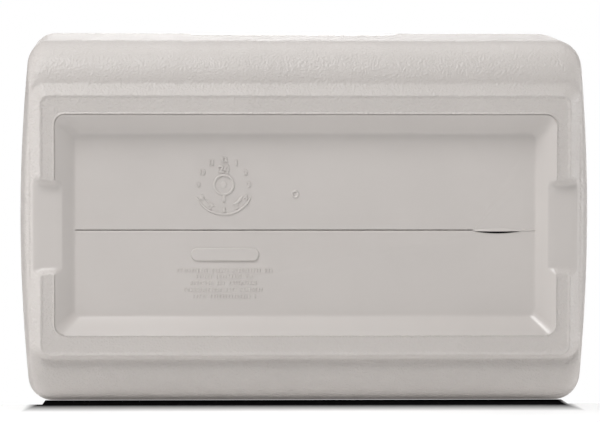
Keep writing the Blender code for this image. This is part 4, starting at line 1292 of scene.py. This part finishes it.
def raised_bar(place, half, height, corner=None, edge=None):
    """A raised bar with rounded corners and a wide rounded edge."""
    corner = min(half) * 0.98 if corner is None else corner
    edge = min(height * 0.9, min(half) * 0.7) if edge is None else edge
    rings = [(0.0, -MARK_ROOT)]
    rings += [(-edge * (1 - cosine), height * sine) for sine, cosine in quarter(4)]
    rings.append((-edge * 1.1, height))
    return stack("bar", half, corner, rings, place)


def digits(text, size, place, height):
    """Raised digits with sloped edges, centred on the placing function's origin."""
    curve = bpy.data.curves.new("digits", "FONT")
    curve.body = text
    curve.size = size
    curve.align_x = "CENTER"
    curve.align_y = "CENTER"
    curve.resolution_u = 4
    curve.offset = DIGIT_EDGE * DIGIT_GROWTH
    curve.extrude = 0.0001
    curve.bevel_depth = DIGIT_EDGE
    curve.bevel_resolution = 1
    obj = bpy.data.objects.new("digits", curve)
    bpy.context.collection.objects.link(obj)
    graph = bpy.context.evaluated_depsgraph_get()
    mesh = bpy.data.meshes.new_from_object(obj.evaluated_get(graph))
    bpy.data.objects.remove(obj)
    bm = bmesh.new()
    bm.from_mesh(mesh)
    bmesh.ops.remove_doubles(bm, verts=bm.verts, dist=1e-7)
    top = max(vert.co.z for vert in bm.verts)
    for vert in bm.verts:
        vert.co = place(vert.co.x, vert.co.y, height + (vert.co.z - top))
    return mesh_from(bm, "digits")


def dial_marks():
    """A date dial with the generic numbers of the months, a two-digit number, a pointer and short arcs."""
    dial = base_place(*DIAL_CENTRE)
    x, y = DIAL_CENTRE
    marks = [turned_mark(dial, *DIAL_RING, MARK_HEIGHT)]
    marks.append(turned_mark(dial, 0.0, DIAL_DOT_R, MARK_HEIGHT * 0.7))
    for number in range(1, 13):
        angle = math.radians(90 - 30 * number)
        place = base_place(x + DIAL_RADIUS * math.cos(angle), y - DIAL_RADIUS * math.sin(angle))
        marks.append(digits(str(number), DIAL_HOUR_SIZE, place, MARK_HEIGHT * 0.9))
    marks.append(digits(DIAL_NUMBER, DIAL_NUMBER_SIZE, base_place(x, y - DIAL_NUMBER_RISE), MARK_HEIGHT))
    marks.append(raised_bar(base_place(x, y + DIAL_BAR_DROP), DIAL_BAR_HALF, MARK_HEIGHT))
    for radius, width, first, last, share in DIAL_ARCS:
        marks.append(arc_rib(dial, radius, width, first, last, MARK_HEIGHT * share))
    return marks


def row_marks():
    """Rows of plain dashes in groups, a missing dash between two groups."""
    marks = []
    half = (DASH_HALF_X, DASH_HALF_Y)
    for y, low, high, groups in ROWS:
        x = low + DASH_STEP / 2
        count = 0
        group = 0
        while x < high:
            if count < groups[group % len(groups)]:
                marks.append(raised_bar(base_place(x, y), half, MARK_HEIGHT * 0.7, DASH_EDGE, DASH_EDGE))
                count += 1
            else:
                count = 0
                group += 1
            x += DASH_STEP
    return marks


def make_marks():
    """All marks on the pocket floor as one piece: dial, gate mark, plain pill, rows and a short rib."""
    low, high = PILL_X
    gate = turned_mark(base_place(*GATE_CENTRE), *GATE_RING, MARK_HEIGHT * 0.8)
    pill = raised_bar(base_place((low + high) / 2, PILL_Y), ((high - low) / 2, PILL_HALF_Y),
                      MARK_HEIGHT * 1.3)
    rib = raised_bar(base_place(SLIT_X + SLIT_LENGTH / 2 + RIB_AFTER_SLIT, SEAM_Y), RIB_HALF, RIB_HEIGHT)
    marks = dial_marks() + [gate, pill] + row_marks() + [rib]
    add_piece("base_marks", joined("base_marks", marks), MATERIAL["shell_smooth"], "body", "shell",
              sharp=28.0)


def make_slit():
    """Raised lip along the near edge of the slit, and a near-black block inside it that paints the shade of
    the opening.
    """
    lip = []
    steps = 24
    for i in range(steps + 1):
        t = -1 + 2 * i / steps
        round_off = 1 - t * t
        outer = SLIT_Y - SLIT_LIP_WIDTH - SLIT_WIDTH / 2 * round_off
        inner = SLIT_Y + 0.0002 * round_off
        high = 0.0002 + SLIT_LIP_HEIGHT * math.sqrt(round_off)
        section = [(outer, -0.0003), (outer, 0.0), (inner - 0.0005, high), (inner - 0.0001, high - 0.0001),
                   (inner, high - 0.0003), (inner, -0.0006), (outer + 0.0001, -0.0006)]
        x = SLIT_X + t * SLIT_LENGTH / 2
        lip.append([(x, CENTRE_Y + y, POCKET_Z - level) for y, level in section])
    add_piece("slit_lip", rings_mesh("lip", lip), MATERIAL["shell_smooth"], "body", "shell", sharp=40.0)
    # The slit's own shape, made near-black further in: painted shade of the opening
    plug = slit_cutter()
    near, far = SLIT_SHADE_Z
    for vert in plug.vertices:
        vert.co.z = near if vert.co.z < POCKET_Z else far
        vert.co.x = SLIT_X + (vert.co.x - SLIT_X) * SLIT_SHADE_SHARE[0]
        vert.co.y = SLIT_Y + CENTRE_Y + (vert.co.y - SLIT_Y - CENTRE_Y) * SLIT_SHADE_SHARE[1]
    add_piece("slit_painted_shade", plug, MATERIAL["slit_painted_shade"], "body", "rubber")


def make_pad():
    """Plain raised pad on the front wall."""
    low, high = PAD_X
    middle = (PAD_Z[0] + PAD_Z[1]) / 2
    half = ((high - low) / 2, (PAD_Z[1] - PAD_Z[0]) / 2)
    def above(rise):
        return lambda u, v: front_wall(middle + v) + rise
    rises = ((0.0, -0.0006), (0.0, 0.0001), (-0.0004, 0.0003), (-0.0009, 0.0004), (-0.0012, 0.0004))
    rings = [(grow, above(rise)) for grow, rise in rises]
    pad = stack("pad", half, half[1] * 0.7, rings, front_place((low + high) / 2, middle), 6)
    add_piece("front_pad", pad, MATERIAL["shell_smooth"], "body", "shell")


def paint_foams():
    """The foam cores stay as they are and get their cellular material."""
    for node in ("body_foam", "lid_foam"):
        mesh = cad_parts[node].data
        mesh.materials.clear()
        mesh.materials.append(MATERIAL["foam"])


# ---------------------------------------------------------------- stage, lights and camera

VIEW_DISTANCE = 2.65
FRAMED_WIDTH = 0.528
FRAME_CENTRE = Vector((-0.0053, -0.0097, 0.0))
VIEW_YAW = math.radians(1.8)
VIEW_TILT = math.radians(2.95)
SHADE_FAR_Z = -0.085
SHADE_NEAR_Z = -0.012
SHADE_X = -0.004
SHADE_HALF_WIDTH = 0.242
SHADE_SIDE = 0.010
BACK_EDGE_Y = WALL_LOW["hy"] + WALL_LOW["cy"] + CENTRE_Y
LIE_TILT = math.atan2(HIGH.y - BACK_EDGE_Y, LID_BOTTOM_Z - WALL_Z)
LIE_GAP = 0.0005
LIE_LENGTH = 2.2
LIE_HALF_WIDTH = 2.5
FLOOR_REACH = 6.0
FLOOR_LEVEL = -0.0006
STAGE_COLOUR = (0.93, 0.93, 0.93)
SHADE_COLOUR = (0.004, 0.004, 0.004)

AIM = Vector((0, 0, 0.12))
AMBIENT = 0.03
GROUND_GLOW = 0.12
FLOOR_GLOW = 0.50
# Name, place, size and power of each light
LIGHTS = (
    ("light_key", (-1.0, -2.7, -1.5), (1.4, 1.4), 96.0),
    ("light_left", (-3.0, -0.4, 0.3), (1.2, 1.2), 30.0),
    ("light_right", (3.0, -0.4, 0.3), (1.2, 1.2), 48.0),
    ("light_top", (0.0, -2.6, 1.2), (1.8, 1.2), 26.0),
    ("light_back", (0.8, 2.2, 2.2), (1.8, 1.2), 26.0),
    ("light_above", (0.2, 0.1, 3.0), (2.2, 2.2), 60.0),
)


def one_sided(name, colour, glow=0.0):
    """Stage material that is seen from its front only, with an even glow if one is given."""
    material = bpy.data.materials.new(name)
    material.use_nodes = True
    tree = material.node_tree
    tree.nodes.clear()
    out = tree.nodes.new("ShaderNodeOutputMaterial")
    mix = tree.nodes.new("ShaderNodeMixShader")
    diffuse = tree.nodes.new("ShaderNodeBsdfDiffuse")
    diffuse.inputs["Color"].default_value = (*colour, 1.0)
    clear = tree.nodes.new("ShaderNodeBsdfTransparent")
    side = tree.nodes.new("ShaderNodeNewGeometry")
    tree.links.new(side.outputs["Backfacing"], mix.inputs["Fac"])
    front = diffuse.outputs["BSDF"]
    if glow:
        light = tree.nodes.new("ShaderNodeEmission")
        light.inputs["Strength"].default_value = glow
        both = tree.nodes.new("ShaderNodeAddShader")
        tree.links.new(front, both.inputs[0])
        tree.links.new(light.outputs["Emission"], both.inputs[1])
        front = both.outputs["Shader"]
    tree.links.new(front, mix.inputs[1])
    tree.links.new(clear.outputs["BSDF"], mix.inputs[2])
    tree.links.new(mix.outputs["Shader"], out.inputs["Surface"])
    return material


def math_node(tree, operation, first, second):
    """Value of a math node on a socket and on a second socket or number."""
    node = tree.nodes.new("ShaderNodeMath")
    node.operation = operation
    tree.links.new(first, node.inputs[0])
    if isinstance(second, float):
        node.inputs[1].default_value = second
    else:
        tree.links.new(second, node.inputs[1])
    return node.outputs["Value"]


def contact_shade():
    """The pale stage material with the close dark contact shade in front of the resting edge."""
    material = one_sided("stage_pale", STAGE_COLOUR)
    tree = material.node_tree
    diffuse = next(n for n in tree.nodes if n.type == "BSDF_DIFFUSE")
    place = tree.nodes.new("ShaderNodeTexCoord")
    split = tree.nodes.new("ShaderNodeSeparateXYZ")
    tree.links.new(place.outputs["Object"], split.inputs["Vector"])
    along = remap(tree, split.outputs["Z"], 1.0, 0.0, SHADE_FAR_Z, SHADE_NEAR_Z)
    width = math_node(tree, "ABSOLUTE", math_node(tree, "SUBTRACT", split.outputs["X"], SHADE_X), 0.0)
    across = remap(tree, width, 0.0, 1.0, SHADE_HALF_WIDTH - SHADE_SIDE, SHADE_HALF_WIDTH)
    tree.links.new(tint(tree, math_node(tree, "MAXIMUM", along, across), SHADE_COLOUR, STAGE_COLOUR),
                   diffuse.inputs["Color"])
    return material


def stage_plane(name, corners, material):
    """A flat stage piece through four corners, its front on the side they turn anticlockwise."""
    mesh = bpy.data.meshes.new(name)
    mesh.from_pydata([tuple(c) for c in corners], [], [(0, 1, 2, 3)])
    mesh.materials.append(material)
    obj = bpy.data.objects.new(name, mesh)
    bpy.context.collection.objects.link(obj)
    return obj


def lying_plane(name, near, far, half, material):
    """A flat stage piece of a half width, from near to far along the back of the cooler."""
    return stage_plane(name, [near + half, far + half, far - half, near - half], material)


def make_stage():
    """A pale floor under the standing cooler, and one along its back for the view of the base."""
    corners = [(x * FLOOR_REACH, y * FLOOR_REACH, FLOOR_LEVEL)
               for x, y in ((-1, -1), (1, -1), (1, 1), (-1, 1))]
    floor = stage_plane("stage_floor", corners, one_sided("stage_floor", STAGE_COLOUR, FLOOR_GLOW))
    floor.visible_diffuse = False
    floor.visible_glossy = False
    floor.visible_transmission = False
    floor.visible_shadow = False
    far = Vector((0, BACK_EDGE_Y + LIE_GAP, WALL_Z))
    away = Vector((0, math.sin(LIE_TILT), math.cos(LIE_TILT)))
    near = far - away * LIE_LENGTH
    split = far - away * ((WALL_Z - 2 * FLOOR_LEVEL) / away.z)
    wide = Vector((LIE_HALF_WIDTH, 0, 0))
    close = Vector((SHADE_HALF_WIDTH - SHADE_SIDE, 0, 0))
    shade = contact_shade()
    for piece in (("stage_back", near, split, wide), ("stage_back_close", split, far, close)):
        seen = lying_plane(*piece, shade)
        seen.visible_diffuse = False
        seen.visible_glossy = False
        seen.visible_shadow = False
    glow = one_sided("stage_glow", STAGE_COLOUR, GROUND_GLOW)
    lying_plane("stage_bounce", near, far, wide, glow).visible_camera = False


def add_area(name, place, size, power):
    """A rectangular soft light, turned to the cooler and hidden from the camera."""
    data = bpy.data.lights.new(name, "AREA")
    data.shape = "RECTANGLE"
    data.size, data.size_y = size
    data.energy = power
    obj = bpy.data.objects.new(name, data)
    bpy.context.collection.objects.link(obj)
    obj.location = place
    obj.rotation_euler = (AIM - obj.location).to_track_quat("-Z", "Y").to_euler()
    obj.visible_camera = False


def make_lights():
    """Soft lights for the base view and the standing views, and white surroundings."""
    for light in LIGHTS:
        add_area(*light)
    world = bpy.data.worlds.new("studio")
    bpy.context.scene.world = world
    world.use_nodes = True
    tree = world.node_tree
    tree.nodes.clear()
    out = tree.nodes.new("ShaderNodeOutputWorld")
    path = tree.nodes.new("ShaderNodeLightPath")
    mix = tree.nodes.new("ShaderNodeMixShader")
    ambient = tree.nodes.new("ShaderNodeBackground")
    ambient.inputs["Color"].default_value = (1, 1, 1, 1)
    ambient.inputs["Strength"].default_value = AMBIENT
    white = tree.nodes.new("ShaderNodeBackground")
    white.inputs["Color"].default_value = (1, 1, 1, 1)
    white.inputs["Strength"].default_value = 1.0
    tree.links.new(path.outputs["Is Camera Ray"], mix.inputs["Fac"])
    tree.links.new(ambient.outputs["Background"], mix.inputs[1])
    tree.links.new(white.outputs["Background"], mix.inputs[2])
    tree.links.new(mix.outputs["Shader"], out.inputs["Surface"])
    bpy.context.scene.view_settings.view_transform = "Standard"


def make_camera():
    """Camera level with the ground that the cooler's back lies on, facing the base."""
    ahead = Vector((math.sin(VIEW_YAW), math.sin(VIEW_TILT) * math.cos(VIEW_YAW),
                    math.cos(VIEW_TILT) * math.cos(VIEW_YAW)))
    up = Vector((0, -math.cos(VIEW_TILT), math.sin(VIEW_TILT)))
    right = ahead.cross(up).normalized()
    data = bpy.data.cameras.new("camera")
    data.sensor_width = 36.0
    data.lens = data.sensor_width * VIEW_DISTANCE / FRAMED_WIDTH
    data.clip_end = 30.0
    camera = bpy.data.objects.new("camera", data)
    bpy.context.collection.objects.link(camera)
    place = FRAME_CENTRE + Vector((0, CENTRE_Y, 0)) - ahead * VIEW_DISTANCE
    turn = Matrix((right, up, -ahead)).transposed().to_4x4()
    camera.matrix_world = Matrix.Translation(place) @ turn
    bpy.context.scene.camera = camera


make_camera()
make_lights()
make_stage()
make_body()
make_tub()
make_cover()
make_pan()
make_gasket()
make_hinges()
make_screws()
make_latches()
make_handles()
make_marks()
make_slit()
make_pad()
paint_foams()
